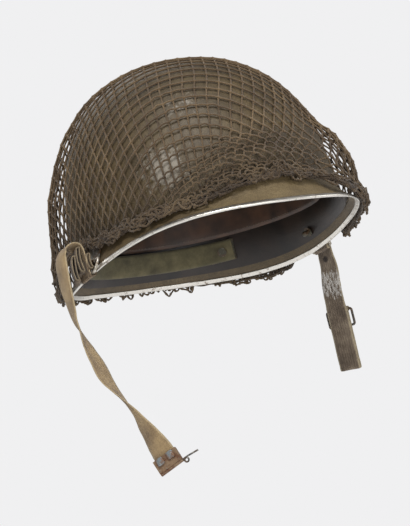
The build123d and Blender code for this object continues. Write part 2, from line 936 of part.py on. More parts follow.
def eased(table, place, column):
    """Value between two rows of a table, eased in and out at each row."""
    rows = zip(table, table[1:])
    for first, second in rows:
        if place <= second[0]:
            share = min(max((place - first[0]) / (second[0] - first[0]), 0), 1)
            ease = share * share * (3 - 2 * share)
            return first[column] + (second[column] - first[column]) * ease
    return table[-1][column]


def compass(angle):
    return (degrees(angle) + 180) % 360 - 180


def hem_rise(angle):
    return eased(hem_stations_shares, compass(angle), 1)


def net_slack(angle, rise):
    loose = eased(hem_stations_shares, compass(angle), 2)
    return net_gap + net_stand * loose * eased(drape_shares, rise, 1)


def net_point(angle, rise, stand):
    """Point over the steel, or plumb below its edge and drawn in a little."""
    if rise > 0:
        return skin_point(angle, rise, stand)
    drop = (shell_point(angle, rise) - shell_point(angle, 0)).length
    return skin_point(angle, 0, stand) - Vector(0, 0, drop) - radial(angle) * (drop * hem_tuck_share)


def helmet_net():
    return dome(hem_rise, lambda angle, rise: net_slack(angle, rise) + net_wall, net_slack, net_point)


def net_hem():
    """Gathered roll of net along the hem, on the outside of the net."""
    places = []
    sides = 6
    for side in range(sides):
        swing = turn * side / sides

        def place(angle, swing=swing):
            rise = hem_rise(angle)
            up = rise_along(angle, hem_radius * sin(swing))
            stand = net_slack(angle, rise) + net_wall + seat_gap
            stand += hem_radius * hem_squash_share * (1 + cos(swing))
            return net_point(angle, rise + up, stand)

        places.append(place)
    return ring_solid(places)


def mirrored(shape):
    return mirror(shape, about=Plane.YZ)


nodes = {
    "steel_shell": steel_shell,
    "rim_band": rim_band,
    "bail_lug_left": lug,
    "bail_lug_right": lambda: mirrored(lug()),
    "bail_left": bail,
    "bail_right": lambda: mirrored(bail()),
    "chin_strap_right": lambda: mirrored(long_strap()),
    "strap_folds_right": lambda: mirrored(strap_folds()),
    "strap_end_clamp": lambda: mirrored(end_clamp()),
    "strap_end_hook": lambda: mirrored(end_hook()),
    "chin_strap_left": short_strap,
    "strap_snap_left": snap_stud,
    "strap_buckle_left": buckle,
    "liner_shell": liner_shell,
    "liner_eyelet": liner_eyelet,
    "suspension_washers": washers,
    "suspension_rivets": hanger_rivets,
    "headband_web": headband_web,
    "sweatband": sweatband,
    "sweatband_clips": sweatband_clips,
    "sweatband_buckle": sweatband_buckle,
    "crown_lace": crown_lace,
    "nape_band": nape_band,
    "nape_washers": nape_washers,
    "nape_rivets": nape_rivets,
    "liner_strap_studs": strap_studs,
    "helmet_net": helmet_net,
    "net_hem": net_hem,
}
for number, angle in enumerate(hanger_angles):
    nodes[f"crown_strap_{number + 1}"] = lambda angle=angle: crown_strap(angle)

os.makedirs("parts", exist_ok=True)
for name, make in nodes.items():
    export_step(make(), f"parts/{name}.step")
    print(name)
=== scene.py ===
import json
import math
import bpy
import numpy as np
from mathutils import Matrix


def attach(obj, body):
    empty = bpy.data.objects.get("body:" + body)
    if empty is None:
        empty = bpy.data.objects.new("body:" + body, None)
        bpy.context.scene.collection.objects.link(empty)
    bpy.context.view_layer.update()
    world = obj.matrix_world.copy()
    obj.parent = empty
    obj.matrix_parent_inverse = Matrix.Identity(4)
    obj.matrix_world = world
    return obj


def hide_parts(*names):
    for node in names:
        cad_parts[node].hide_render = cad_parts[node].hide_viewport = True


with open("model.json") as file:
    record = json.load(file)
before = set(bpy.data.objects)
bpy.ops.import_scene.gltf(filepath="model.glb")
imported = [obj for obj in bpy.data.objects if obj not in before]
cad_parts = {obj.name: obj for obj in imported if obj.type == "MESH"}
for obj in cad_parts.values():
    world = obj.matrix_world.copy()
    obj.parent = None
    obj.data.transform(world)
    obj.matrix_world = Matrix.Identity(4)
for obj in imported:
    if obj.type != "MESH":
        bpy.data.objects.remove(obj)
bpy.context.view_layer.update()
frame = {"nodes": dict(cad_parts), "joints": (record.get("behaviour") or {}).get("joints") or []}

mm = 0.001
tiny = 0.01
fullTurn = 2 * math.pi
rng = np.random.default_rng(7)
nodes = frame["nodes"]
strapJoint = next(joint for joint in frame["joints"] if joint["name"] == "left_strap_hinge")
print("frame loaded")


# Camera, from the vanishing lines and the rim's outline in the photograph
cameraSettings = {
    "position": (-0.91445, -1.18285, -0.1925),
    "right": (0.79349, -0.57032, -0.21236),
    "up": (0.09290, -0.23135, 0.96843),
    "forward": (0.60145, 0.78817, 0.13059),
    "lens": 121.5,
    "sensor": 36.0,
    "clip": (0.05, 40),
}


def placeObject(name, data, right, up, back, place):
    made = bpy.data.objects.new(name, data)
    bpy.context.scene.collection.objects.link(made)
    matrix = np.eye(4)
    matrix[:3] = np.stack([right, up, back, place], 1)
    made.matrix_world = Matrix(matrix.tolist())
    return made


def makeCamera(settings):
    data = bpy.data.cameras.new("photoCamera")
    data.lens = settings["lens"]
    data.sensor_width = settings["sensor"]
    data.clip_start, data.clip_end = settings["clip"]
    back = np.negative(settings["forward"])
    bpy.context.scene.camera = placeObject("photoCamera", data, settings["right"], settings["up"], back,
                                           settings["position"])


makeCamera(cameraSettings)
print("camera set")


# Shape of the pot, in millimetres. An angle goes round from the visor, towards the wearer's left.
# Rise 0 is the pot's edge, 1 the waist above its flare and 2 the crown.
potForm = {
    "rimFront": 139.0,
    "rimSide": 122.5,
    "rimBack": 141.0,
    "frontCorner": 0.99,
    "backCorner": 0.98,
    "waist": (117.5, 111.8, 125.5),
    "visorLift": 23.4,
    "visorCorner": 1.03,
    "sideLift": 7.6,
    "backCornerLift": 1.4,
    "backLift": 7.1,
    "waistLift": (51.4, 35.1, 44.7),
    "crownHeight": 180.0,
    "crownLean": 18.4,
    "steel": 1.1,
    "heightPower": 2.24,
    "planPower": 2.39,
}


def around(values, angle):
    # a smooth closed curve through values spaced evenly from the visor to the back, alike on both sides
    last = len(values) - 1
    ends = [0.5 if place in (0, last) else 1 for place in range(last + 1)]
    total = np.zeros_like(angle)
    for wave in range(last + 1):
        weight = sum(half * value * math.cos(math.pi * wave * place / last)
                     for place, (half, value) in enumerate(zip(ends, values)))
        total = total + ends[wave] * weight * np.cos(wave * angle) * 2 / last
    return total


def shellPoint(angle, rise):
    form = potForm
    frontCorner = form["frontCorner"] * (form["rimFront"] + form["rimSide"]) / 2
    backCorner = form["backCorner"] * (form["rimSide"] + form["rimBack"]) / 2
    rimReach = around((form["rimFront"], frontCorner, form["rimSide"], backCorner, form["rimBack"]), angle)
    visorLifts = (form["visorLift"], form["visorCorner"] * form["visorLift"])
    rimLift = around((*visorLifts, form["sideLift"], form["backCornerLift"], form["backLift"]), angle)
    waistReach = around(form["waist"], angle)
    waistLift = around(form["waistLift"], angle)
    flare = np.minimum(rise, 1)
    slope = np.clip(rise - 1, 0, 1) * math.pi / 2
    climb = np.sin(slope) ** (2 / form["heightPower"])
    reach = waistReach * np.clip(np.cos(slope), 0, 1) ** (2 / form["planPower"])
    reach = reach + (rimReach - waistReach) * (1 - flare) ** 2
    low = rimLift + (waistLift - rimLift) * flare
    height = low + (form["crownHeight"] - waistLift) * climb
    lean = form["crownLean"] * climb ** 2
    return np.stack([reach * np.sin(angle), lean - reach * np.cos(angle), height], -1)


def sizeOf(vectors):
    return np.linalg.norm(vectors, axis=-1)


def unit(vectors):
    return vectors / sizeOf(vectors)[..., None]


def wholeTurn(count):
    return np.arange(count) / count * fullTurn


def circleOf(angle, reach):
    return np.stack([np.cos(angle), np.sin(angle)], -1) * reach


def outward(angle, rise):
    step = 0.001
    rise = np.minimum(rise, 1.985)
    across = shellPoint(angle + step, rise) - shellPoint(angle - step, rise)
    upward = shellPoint(angle, rise + step) - shellPoint(angle, rise - step)
    return unit(np.cross(across, upward))


def alike(*values):
    return np.broadcast_arrays(*(np.asarray(value, float) for value in values))


def skinPoint(angle, rise, stand):
    angle, rise, stand = alike(angle, rise, stand)
    return shellPoint(angle, rise) + outward(angle, rise) * stand[..., None]


def riseAlong(angle, distance):
    # the rise of a point so many millimetres up from the edge
    step = 0.001
    return distance * step / sizeOf(shellPoint(angle, step + angle * 0) - shellPoint(angle, angle * 0))


def smoothNoise(places, size, seed):
    # value noise of -1 to 1 in up to three dimensions, smooth over the given size
    cells = np.floor(places / size).astype(int)
    part = places / size - cells
    part = part * part * (3 - 2 * part)
    total = 0
    for corner in range(2 ** places.shape[-1]):
        offset = np.array([(corner >> axis) & 1 for axis in range(places.shape[-1])])
        weight = np.prod(np.where(offset, part, 1 - part), -1)
        key = (cells + offset) @ np.array([73, 179, 283][: places.shape[-1]]) + seed * 57
        total = total + weight * (np.sin(key * 12.9898) * 43758.5453 % 1)
    return total * 2 - 1


# Mesh helpers. Rings are arrays of points, and uv holds metres along a piece and a place across or round it.

def addMesh(name, points, faces, uv, material, body, smooth=True):
    mesh = bpy.data.meshes.new(name)
    mesh.from_pydata(np.asarray(points).tolist(), [], [list(face) for face in faces])
    if uv is not None:
        layer = mesh.uv_layers.new(name="UVMap")
        corners = np.zeros(len(mesh.loops), int)
        mesh.loops.foreach_get("vertex_index", corners)
        layer.data.foreach_set("uv", np.asarray(uv)[corners].astype(np.float32).ravel())
    mesh.polygons.foreach_set("use_smooth", [smooth] * len(mesh.polygons))
    mesh.update()
    piece = bpy.data.objects.new(name, mesh)
    bpy.context.scene.collection.objects.link(piece)
    mesh.materials.append(material)
    if body:
        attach(piece, body)
    return piece


def loftGrid(rings, closedAlong=False):
    count, sides = rings.shape[:2]
    faces = []
    for row in range(count if closedAlong else count - 1):
        after = (row + 1) % count
        for side in range(sides):
            beside = (side + 1) % sides
            here, there = row * sides, after * sides
            faces.append((here + side, here + beside, there + beside, there + side))
    if not closedAlong:
        faces.append(tuple(range(sides))[::-1])
        faces.append(tuple((count - 1) * sides + side for side in range(sides)))
    return faces


def lengthsAlong(path):
    return np.concatenate([[0], np.cumsum(sizeOf(np.diff(path, axis=0)))])


def tubeRings(path, normals, radius, sides=5):
    along = unit(np.gradient(path, axis=0))
    side = unit(np.cross(along, normals))
    up = np.cross(side, along)
    swing = wholeTurn(sides)
    radius = np.broadcast_to(np.asarray(radius, float), len(path))[:, None, None]
    ring = np.cos(swing)[None, :, None] * side[:, None] + np.sin(swing)[None, :, None] * up[:, None]
    return path[:, None] + ring * radius


def joinTubes(name, tubes, material, body):
    # one mesh from many tubes, each given as its rings in metres and whether it is closed
    points, faces, uv, start = [], [], [], 0
    for rings, closed in tubes:
        faces += [tuple(index + start for index in face) for face in loftGrid(rings, closedAlong=closed)]
        points.append(rings.reshape(-1, 3))
        length = lengthsAlong(rings.mean(1))
        turns = np.arange(rings.shape[1]) / rings.shape[1]
        uv.append(np.stack(alike(length[:, None], turns[None]), -1).reshape(-1, 2))
        start += rings.shape[0] * rings.shape[1]
    return addMesh(name, np.concatenate(points), faces, np.concatenate(uv), material, body)


def smoothRows(rows, steps):
    # Catmull-Rom through rows of numbers, steps points to each span
    rows = np.asarray(rows, float)
    padded = np.concatenate([[2 * rows[0] - rows[1]], rows, [2 * rows[-1] - rows[-2]]])
    out = []
    for span in range(len(rows) - 1):
        before, first, second, after = padded[span:span + 4]
        for step in range(steps):
            t = step / steps
            bend = (2 * before - 5 * first + 4 * second - after) * t ** 2
            twist = (3 * first - before - 3 * second + after) * t ** 3
            out.append(0.5 * (2 * first + (second - before) * t + bend + twist))
    out.append(rows[-1])
    return np.array(out)


def webbingMesh(name, path, across, form, material, body, seed):
    # flat woven strap along a path in metres, wide along across, with rounded edges and slight waves
    width, thick = form["width"] * mm, form["thick"] * mm
    along = unit(np.gradient(path, axis=0))
    across = unit(across - along * np.sum(across * along, -1, keepdims=True))
    normal = np.cross(along, across)
    columns = np.linspace(-1, 1, 9)
    edge = 0.5 * thick * np.sqrt(np.clip(1 - np.abs(columns) ** 10, 0.09, 1))
    profileAcross = np.concatenate([columns, columns[::-1]]) * width / 2
    profileUp = np.concatenate([edge, -edge[::-1]])
    length = lengthsAlong(path)
    wave = smoothNoise(np.stack([length, length * 0 + seed], -1) / mm, 11.0, seed) * form["wave"] * mm
    cup = form.get("cup", 0.0) * mm * (profileAcross / width * 2) ** 2
    side = profileAcross[None] * (1 + 0.015 * smoothNoise(length[:, None] / mm, 4.0, seed + 3)[:, None])
    up = profileUp[None] + cup[None] + wave[:, None] * np.sin(profileAcross / width * 5 + seed)[None]
    rings = path[:, None] + across[:, None] * side[..., None] + normal[:, None] * up[..., None]
    uv = np.stack(alike(length[:, None], profileAcross[None]), -1).reshape(-1, 2)
    return addMesh(name, rings.reshape(-1, 3), loftGrid(rings), uv, material, body)


# Shader helpers

def toLinear(colour):
    channels = [int(colour[place:place + 2], 16) / 255 for place in (1, 3, 5)]
    return [part / 12.92 if part <= 0.04045 else ((part + 0.055) / 1.055) ** 2.4 for part in channels] + [1]


def addNode(tree, kind, settings=None, inputs=None, stops=None):
    made = tree.nodes.new("ShaderNode" + kind)
    for name, value in (settings or {}).items():
        setattr(made, name, value)
    for name, value in (inputs or {}).items():
        if isinstance(value, bpy.types.NodeSocket):
            tree.links.new(value, made.inputs[name])
        else:
            made.inputs[name].default_value = toLinear(value) if isinstance(value, str) else value
    for number, (place, value) in enumerate(stops or []):
        element = made.color_ramp.elements[number] if number < 2 else made.color_ramp.elements.new(place)
        element.position = place
        element.color = toLinear(value) if isinstance(value, str) else (value, value, value, 1)
    return made


def perMetre(size):
    return 1 / (size * mm)


class Surface:
    # a material in the making: most methods add one node and give back its output

    def __init__(self, name, roughness, metallic=0.0, sheen=0.0):
        self.material = bpy.data.materials.new(name)
        self.material.use_nodes = True
        self.tree = self.material.node_tree
        self.shader = self.tree.nodes["Principled BSDF"]
        self.shader.inputs["Roughness"].default_value = roughness
        self.shader.inputs["Metallic"].default_value = metallic
        self.shader.inputs["Sheen Weight"].default_value = sheen
        place = addNode(self.tree, "TexCoord")
        self.spot, self.lay = place.outputs["Object"], place.outputs["UV"]

    def noise(self, size, detail, roughness=0.5, spot=None):
        inputs = {"Scale": perMetre(size), "Detail": detail, "Roughness": roughness}
        inputs["Vector"] = self.spot if spot is None else spot
        return addNode(self.tree, "TexNoise", inputs=inputs).outputs[0]

    def cells(self, size):
        inputs = {"Vector": self.spot, "Scale": perMetre(size)}
        return addNode(self.tree, "TexVoronoi", inputs=inputs).outputs[0]

    def ramp(self, value, *stops):
        return addNode(self.tree, "ValToRGB", inputs={0: value}, stops=stops).outputs[0]

    def mix(self, share, first, second, blend="MIX"):
        settings = {"data_type": "RGBA", "blend_type": blend}
        return addNode(self.tree, "Mix", settings, {0: share, 6: first, 7: second}).outputs[2]

    def maths(self, operation, *values):
        return addNode(self.tree, "Math", {"operation": operation}, dict(enumerate(values))).outputs[0]

    def mapped(self, value, low=0.0, high=1.0, start=0.0, end=1.0, kind="LINEAR"):
        inputs = {0: value, 1: low, 2: high, 3: start, 4: end}
        return addNode(self.tree, "MapRange", {"interpolation_type": kind}, inputs).outputs[0]

    def eased(self, value, low, high, start=0.0, end=1.0):
        return self.mapped(value, low, high, start, end, "SMOOTHSTEP")

    def axes(self, spot):
        return addNode(self.tree, "SeparateXYZ", inputs={0: spot}).outputs

    def joined(self, first, second):
        return addNode(self.tree, "CombineXYZ", inputs={0: first, 1: second}).outputs[0]

    def vectors(self, operation, inputs):
        return addNode(self.tree, "VectorMath", {"operation": operation}, inputs).outputs

    def apart(self, spot, place):
        return self.vectors("DISTANCE", {0: spot, 1: place})["Value"]

    def scaled(self, colour, factor):
        return self.vectors("SCALE", {0: colour, "Scale": factor})[0]

    def link(self, value, name):
        self.tree.links.new(value, self.shader.inputs[name])

    def bump(self, height, strength, deep):
        inputs = {"Height": height, "Strength": strength, "Distance": deep * mm}
        self.link(addNode(self.tree, "Bump", inputs=inputs).outputs[0], "Normal")


# Cotton twine, laid from yarns and knotted: dull, fuzzy, slightly uneven in its dye, darker low down towards
# the hem
def cottonTwine(name, dark, mid, light):
    look = Surface(name, 0.92, sheen=0.15)
    fibre = look.noise(0.7, 2.0)
    tone = look.ramp(look.noise(26.0, 3.0), (0.3, dark), (0.7, light), (0.52, mid))
    speck = look.ramp(fibre, (0.35, "#b0a494"), (0.75, "#ffffff"))
    # darker low down and slightly lighter high up, by height alone
    hemwardDarkening = look.eased(look.axes(look.spot)[2], 0.04, 0.1, 0.72, 1.05)
    look.link(look.scaled(look.mix(0.8, tone, speck, "MULTIPLY"), hemwardDarkening), "Base Color")
    lay = look.axes(look.lay)
    runs = look.maths("MULTIPLY", lay[0], fullTurn * perMetre(1.9))
    twist = look.maths("SINE", look.maths("MULTIPLY_ADD", lay[1], fullTurn * 2, runs))
    look.bump(look.maths("MULTIPLY_ADD", fibre, 1.2, twist), 0.7, 0.15)
    return look.material


# Manganese steel, sprayed with flat paint mixed with ground cork: a fine grit, rubbed thin and grey in
# patches, with pale spots on the crown as painted highlights, and the visor painted paler and yellower as
# painted light
paintForm = {
    "rub": (-0.0855, -0.0702, 0.072),        # places and reaches of its largest bare patch and of the painted highlights on the crown, in metres
    "rubReach": (0.033, 0.006),
    "glint": (-0.0571, -0.0746, 0.1215),
    "glintReach": (0.026, 0.004),
    "visorLow": (0.05, 0.036),
    "visorFront": (-0.09, -0.118),
}


def corkPaintedSteel(form):
    look = Surface("corkPaintedSteel", 0.6)
    grit = look.noise(0.9, 4.0, 0.7)
    cloud = look.noise(30.0, 6.0, 0.62)
    tone = look.ramp(cloud, (0.3, "#4d4029"), (0.72, "#6f5f41"), (0.5, "#5f5036"))
    place = look.axes(look.spot)
    low, front = look.eased(place[2], *form["visorLow"]), look.eased(place[1], *form["visorFront"])
    # the visor, low in front, is painted paler and yellower: painted light where it catches more light
    visorLightYellow = look.ramp(cloud, (0.35, "#6f5f42"), (0.65, "#857453"))
    clean = look.mix(look.maths("MULTIPLY", low, front), tone, visorLightYellow)
    speck = look.ramp(grit, (0.35, "#857a6a"), (0.62, "#ffffff"))
    brow = look.mapped(look.apart(look.spot, form["rub"]), *form["rubReach"], -0.13, 0.16)
    # spots on the crown are painted pale as highlights, in the colour of bare worn paint
    crown = look.mapped(look.apart(look.spot, form["glint"]), *form["glintReach"], -0.13, 0.05)
    wearAndGlints = look.maths("ADD", look.noise(7.0, 7.0, 0.8), look.maths("MAXIMUM", brow, crown))
    mask = look.ramp(wearAndGlints, (0.52, 0.0), (0.64, 0.85))
    look.link(look.mix(mask, look.mix(0.8, clean, speck, "MULTIPLY"), "#958d80"), "Base Color")
    look.link(look.mapped(mask, start=0.54, end=0.42), "Roughness")
    look.bump(grit, 0.6, 0.3)
    return look.material


# Rolled stainless strip, folded over the edge: bright where rubbed, brown with old paint and rust in its pits
def foldedStainless():
    look = Surface("foldedStainless", 0.34, 1.0)
    mask = look.ramp(look.noise(5.0, 7.0, 0.72), (0.56, 0.0), (0.66, 0.85))
    look.link(look.mix(mask, "#dcd8d0", "#6e5a45"), "Base Color")
    look.link(look.mapped(mask, start=0.3, end=0.72), "Roughness")
    look.link(look.mapped(mask, start=1.0, end=0.25), "Metallic")
    look.bump(look.noise(4.0, 3.0), 0.5, 0.5)
    return look.material


# Mild steel wire and plate under flat paint: the paint is chipped to grey metal and brown rust
def chippedSteel(name, paint, bare, rust, bareShare):
    look = Surface(name, 0.5, 0.3)
    chips = look.noise(2.6, 6.0, 0.7)
    mask = look.ramp(chips, (0.62 - bareShare / 3, 0.0), (0.68 - bareShare / 3, 1.0))
    coat = look.mix(look.ramp(look.noise(6.5, 4.0), (0.48, 0.0), (0.6, 1.0)), paint, rust)
    look.link(look.mix(mask, coat, bare), "Base Color")
    look.link(look.mapped(mask, start=0.1, end=0.85), "Metallic")
    look.bump(chips, 0.6, 0.2)
    return look.material


# Cotton webbing, woven in a fine herringbone: matt, faded in clouds, with painted shade in its weave and
# painted highlights along its edges
def cottonWebbing(name, light, mid, dark, patch=None, rib=(0.8, 0.4), selvedgeHighlight=0.0, depth=(0.88, 1.05)):
    look = Surface(name, 0.93, sheen=0.12)
    along, across = look.axes(look.lay)[:2]
    slant = look.maths("ADD", along, look.maths("PINGPONG", across, 2.4 * mm))
    ribs = look.maths("SINE", look.maths("MULTIPLY", slant, fullTurn * perMetre(1.3)))
    threads = look.maths("SINE", look.maths("MULTIPLY", across, fullTurn * perMetre(rib[0])))
    weft = look.maths("MULTIPLY_ADD", threads, rib[1], ribs)
    tone = look.ramp(look.noise(17.0, 5.0, 0.65), (0.32, dark), (0.7, light), (0.5, mid))
    # the colour is darkened in the weave's grooves and lightened on its ribs: painted shade and light
    colour = look.scaled(tone, look.mapped(weft, -1.4, 1.4, *depth))
    # paler selvedges: painted highlights along the strap's edges
    if selvedgeHighlight:
        edge = look.mapped(look.maths("ABSOLUTE", across), 8.1 * mm, 8.7 * mm, end=selvedgeHighlight)
        colour = look.mix(edge, colour, "#c4b595")
    if patch:
        # dirt or dried paint in streaks down the ribs, thick in the middle and broken at both ends
        start = look.mapped(along, patch["from"] * mm, (patch["from"] + 6) * mm)
        end = look.mapped(along, patch["to"] * mm, (patch["to"] - 14) * mm)
        streaks = look.noise(1.8, 6.0, 0.75, look.joined(across, look.maths("MULTIPLY", along, 0.22)))
        cover = look.maths("MULTIPLY_ADD", look.maths("MULTIPLY", start, end), 0.2, streaks)
        colour = look.mix(look.ramp(cover, (0.655, 0.0), (0.71, 1.0)), colour, patch["colour"])
        if "stain" in patch:
            # dark ring of grease where a stud went through
            away = look.apart(look.lay, look.joined(patch["stain"] * mm, 0.8 * mm))
            colour = look.mix(look.eased(away, 3.6 * mm, 1.9 * mm), colour, "#2a2019")
    look.link(colour, "Base Color")
    look.bump(weft, 0.55, 0.18)
    return look.material


# Cotton cloth pressed with brown resin: dark, half glossy inside, with the cloth's weave just showing
def pressedResinCloth():
    look = Surface("pressedResinCloth", 0.42)
    look.link(look.ramp(look.noise(22.0, 5.0), (0.3, "#15100d"), (0.72, "#2b2019")), "Base Color")
    look.bump(look.cells(1.6), 0.4, 0.15)
    return look.material


# Vegetable-tanned leather: russet, darkened partly with dirt and partly as painted shade inside the pot,
# smooth grain with fine creases, polished where it met the head
def russetLeather():
    look = Surface("russetLeather", 0.5)
    # dark browns: dirt and painted shade
    look.link(look.ramp(look.noise(16.0, 5.0), (0.3, "#24170e"), (0.72, "#4b3120")), "Base Color")
    look.bump(look.cells(1.1), 0.35, 0.15)
    return look.material


# Pressed brass under worn paint: dull gold with brown tarnish
def tarnishedBrass():
    look = Surface("tarnishedBrass", 0.42, 0.9)
    look.link(look.ramp(look.noise(2.0, 5.0), (0.38, "#6b3f22"), (0.66, "#a9824b")), "Base Color")
    return look.material


twine = cottonTwine("cottonTwine", "#554430", "#6b583f", "#7f6b4e")
# a darker copy of the twine, used for the hem
darkerHemTwine = cottonTwine("darkerHemTwine", "#443626", "#574632", "#6c5a42")
paintedSteel = corkPaintedSteel(paintForm)
edging = foldedStainless()
bailSteel = chippedSteel("bailSteel", "#8d8577", "#c4beb4", "#6a5038", 0.45)
lugSteel = chippedSteel("lugSteel", "#5d5548", "#8f8b85", "#5c432d", 0.3)
clampSteel = chippedSteel("clampSteel", "#79624a", "#8f8a80", "#5c3c26", 0.05)
tabSteel = chippedSteel("tabSteel", "#6e7476", "#8b9090", "#6b4a30", 0.2)
darkWire = chippedSteel("darkWire", "#3a3630", "#8a867f", "#54402f", 0.25)
washerSteel = chippedSteel("washerSteel", "#3d3a2c", "#7d796e", "#4a3826", 0.1)
longWebbing = cottonWebbing("longStrapWebbing", "#a38b64", "#8c7656", "#735f45",
                            patch={"from": -12, "to": 36, "colour": "#5a4a37"}, selvedgeHighlight=0.4)
# the spare end of the long strap, in darker colours than the strap itself: painted shade
shadedBundleWebbing = cottonWebbing("shadedBundleWebbing", "#75634b", "#5d4d3a", "#403426", selvedgeHighlight=0.22)
shortWebbing = cottonWebbing("shortStrapWebbing", "#8b7d6b", "#6d5f50", "#4f4337",
                             patch={"from": 27, "to": 62, "colour": "#b9b4ad", "stain": 19.0}, rib=(2.2, 1.3),
                             selvedgeHighlight=0.5, depth=(0.72, 1.12))
# the suspension's webbing is darkened, partly with dirt and partly as painted shade inside the pot
innerWebbing = cottonWebbing("suspensionWebbing", "#6b6246", "#565038", "#433d2b")
resinCloth = pressedResinCloth()
leather = russetLeather()
brass = tarnishedBrass()
print("materials made")


def dressNode(name, material, sharpAngle=35):
    piece = nodes[name]
    piece.data.materials.clear()
    piece.data.materials.append(material)
    piece.data.polygons.foreach_set("use_smooth", [True] * len(piece.data.polygons))
    piece.data.set_sharp_from_angle(angle=math.radians(sharpAngle))


nodeFinishes = (
    (paintedSteel, ("steel_shell",)),
    (lugSteel, ("bail_lug_left", "bail_lug_right")),
    (bailSteel, ("bail_left", "bail_right")),
    (clampSteel, ("strap_end_clamp",)),
    (darkWire, ("strap_end_hook", "strap_buckle_left")),
    (brass, ("strap_snap_left", "liner_eyelet")),
    (resinCloth, ("liner_shell",)),
    (washerSteel, ("suspension_washers", "suspension_rivets", "nape_washers", "nape_rivets",
                   "liner_strap_studs", "sweatband_clips", "sweatband_buckle")),
)
for material, names in nodeFinishes:
    for name in names:
        dressNode(name, material)
print("frame pieces dressed")


# Edging folded over the rim, rolled out a little at its ends and slightly wavy
edgingForm = {"leg": 3.4, "gap": 0.05, "wall": 0.5, "roll": 0.1, "bend": 0.75, "wave": 0.18, "girth": 130,
              "steps": 360}


def makeEdging(form):
    angle = wholeTurn(form["steps"])
    middle = -potForm["steel"] / 2
    half = potForm["steel"] / 2 + form["gap"] + form["wall"]
    legs = ((1.0, half + form["roll"]), (0.8, half), (0.5, half), (0.25, half))
    section = [(form["leg"] * leg, middle + stand) for leg, stand in legs]
    bend = half * form["bend"]
    for swing in np.linspace(0, math.pi, 7):
        section.append((-bend * math.sin(swing) - form["gap"], middle + half * math.cos(swing)))
    section += [(form["leg"] * leg, middle - stand) for leg, stand in legs[::-1]]
    inner = half - form["wall"]
    for leg, side in ((1, -1), (0, -1), (0, 1), (1, 1)):
        section.append((form["leg"] * leg, middle + side * inner))
    wave = form["wave"] * smoothNoise(circleOf(angle, form["girth"]), 13.0, 3)
    rings = []
    for distance, stand in section:
        rings.append(skinPoint(angle, riseAlong(angle, distance + wave), stand + 0.12 * wave))
    rings = np.stack(rings, 1) * mm
    piece = addMesh("rimEdging", rings.reshape(-1, 3), loftGrid(rings, closedAlong=True), None, edging, "pot")
    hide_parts("rim_band")


makeEdging(edgingForm)
print("edging made")


# Cord net over the pot, in millimetres. It is laid on the crown as a flat square mesh and eased down to its
# hem, so its cells stay square in front and draw out into diamonds at the sides.
netForm = {
    "mesh": 10.0,            # between knots
    "cord": 0.78,            # cord's radius
    "knot": 1.25,            # radius at a knot
    "layer": 0.28,           # how far the two ways of the mesh lie over and under each other
    "half": 27,              # meshes from the crown to the net's edge
    "corner": 1.42,          # how much of its corners the net keeps
    "wall": 1.6,             # thickness of the net and its knots
    "gap": 0.6,              # between the steel and a taut net
    "stand": 18.0,           # how far a loose net stands off, at most
    "axis": (0.7945, -0.6073),  # one way of the mesh, seen from above
    "centre": (0, 9, 60),    # the net is pulled on and off this point
    "rounds": 60,
    "soften": 6,             # rounds that take the corners off the tangled cords
    "stretch": 0.26,         # how far the diamonds at the sides are drawn down
    "sway": 1.6,             # how far the knots wander
    "swaySize": 27.0,
    "crowd": 1.3,            # how much tighter the gathers get towards the hem
    "tuck": 0.2,             # how far a hanging net leans in
}
# Hem by angle: its rise, where below 0 is under the pot's edge, and how loose the net above it is
hemStations = (
    (-180, -0.08, 1.0), (-128, -0.1, 1.0), (-108, 0.75, 0.25), (-96, 0.86, 0.0), (-80, 0.68, 0.0),
    (-60, 0.6, 0.0), (-40, 0.46, 0.0), (-24, 0.7, 0.0), (-6, 0.86, 0.0), (8, 0.7, 0.05), (22, -0.02, 0.7),
    (32, -0.2, 1.0), (74, -0.25, 1.0), (85, 0.92, 1.0), (102, 0.92, 1.0), (113, -0.15, 1.0),
    (180, -0.08, 1.0),
)
# Stand-off of the loose net by rise: at the back it leaves the steel high up, beside the visor low down
backDrape = (
    (-0.3, 0.34), (0.0, 0.48), (0.3, 0.85), (0.64, 1.02), (0.9, 0.96), (1.16, 0.76), (1.27, 0.52),
    (1.4, 0.36), (1.55, 0.16), (1.8, 0.03), (2.0, 0.0),
)
frontDrape = (
    (-0.3, 0.3), (0.0, 0.34), (0.4, 0.78), (0.8, 0.9), (1.04, 0.92), (1.12, 0.66), (1.21, 0.12), (1.3, 0.02),
    (2.0, 0.0),
)
frontShare = ((-180, 0.0), (-30, 0.0), (0, 1.0), (88, 1.0), (130, 0.0), (180, 0.0))
# Gathers above the hem, by angle: how tall they are and how much net they take up
gathers = (
    (-180, 9.0, 1.6), (-75, 9.0, 1.8), (-52, 14.0, 2.0), (-38, 32.0, 2.5), (-22, 44.0, 3.0), (14, 40.0, 3.0),
    (30, 20.0, 2.0), (180, 9.0, 1.6),
)


def easedValue(table, place, column=1):
    table = np.asarray(table)
    place = np.clip(place, table[0, 0], table[-1, 0])
    row = np.clip(np.searchsorted(table[:, 0], place, side="right") - 1, 0, len(table) - 2)
    share = (place - table[row, 0]) / (table[row + 1, 0] - table[row, 0])
    ease = share * share * (3 - 2 * share)
    return table[row, column] + (table[row + 1, column] - table[row, column]) * ease


def byAngle(table, angle, column=1):
    return easedValue(table, (np.degrees(angle) + 180) % 360 - 180, column)


def hemRise(angle):
    return byAngle(hemStations, angle)


def netSlack(angle, rise):
    loose = byAngle(hemStations, angle, 2)
    front = byAngle(frontShare, angle)
    share = easedValue(backDrape, rise) * (1 - front) + easedValue(frontDrape, rise) * front
    return netForm["gap"] + netForm["stand"] * loose * share


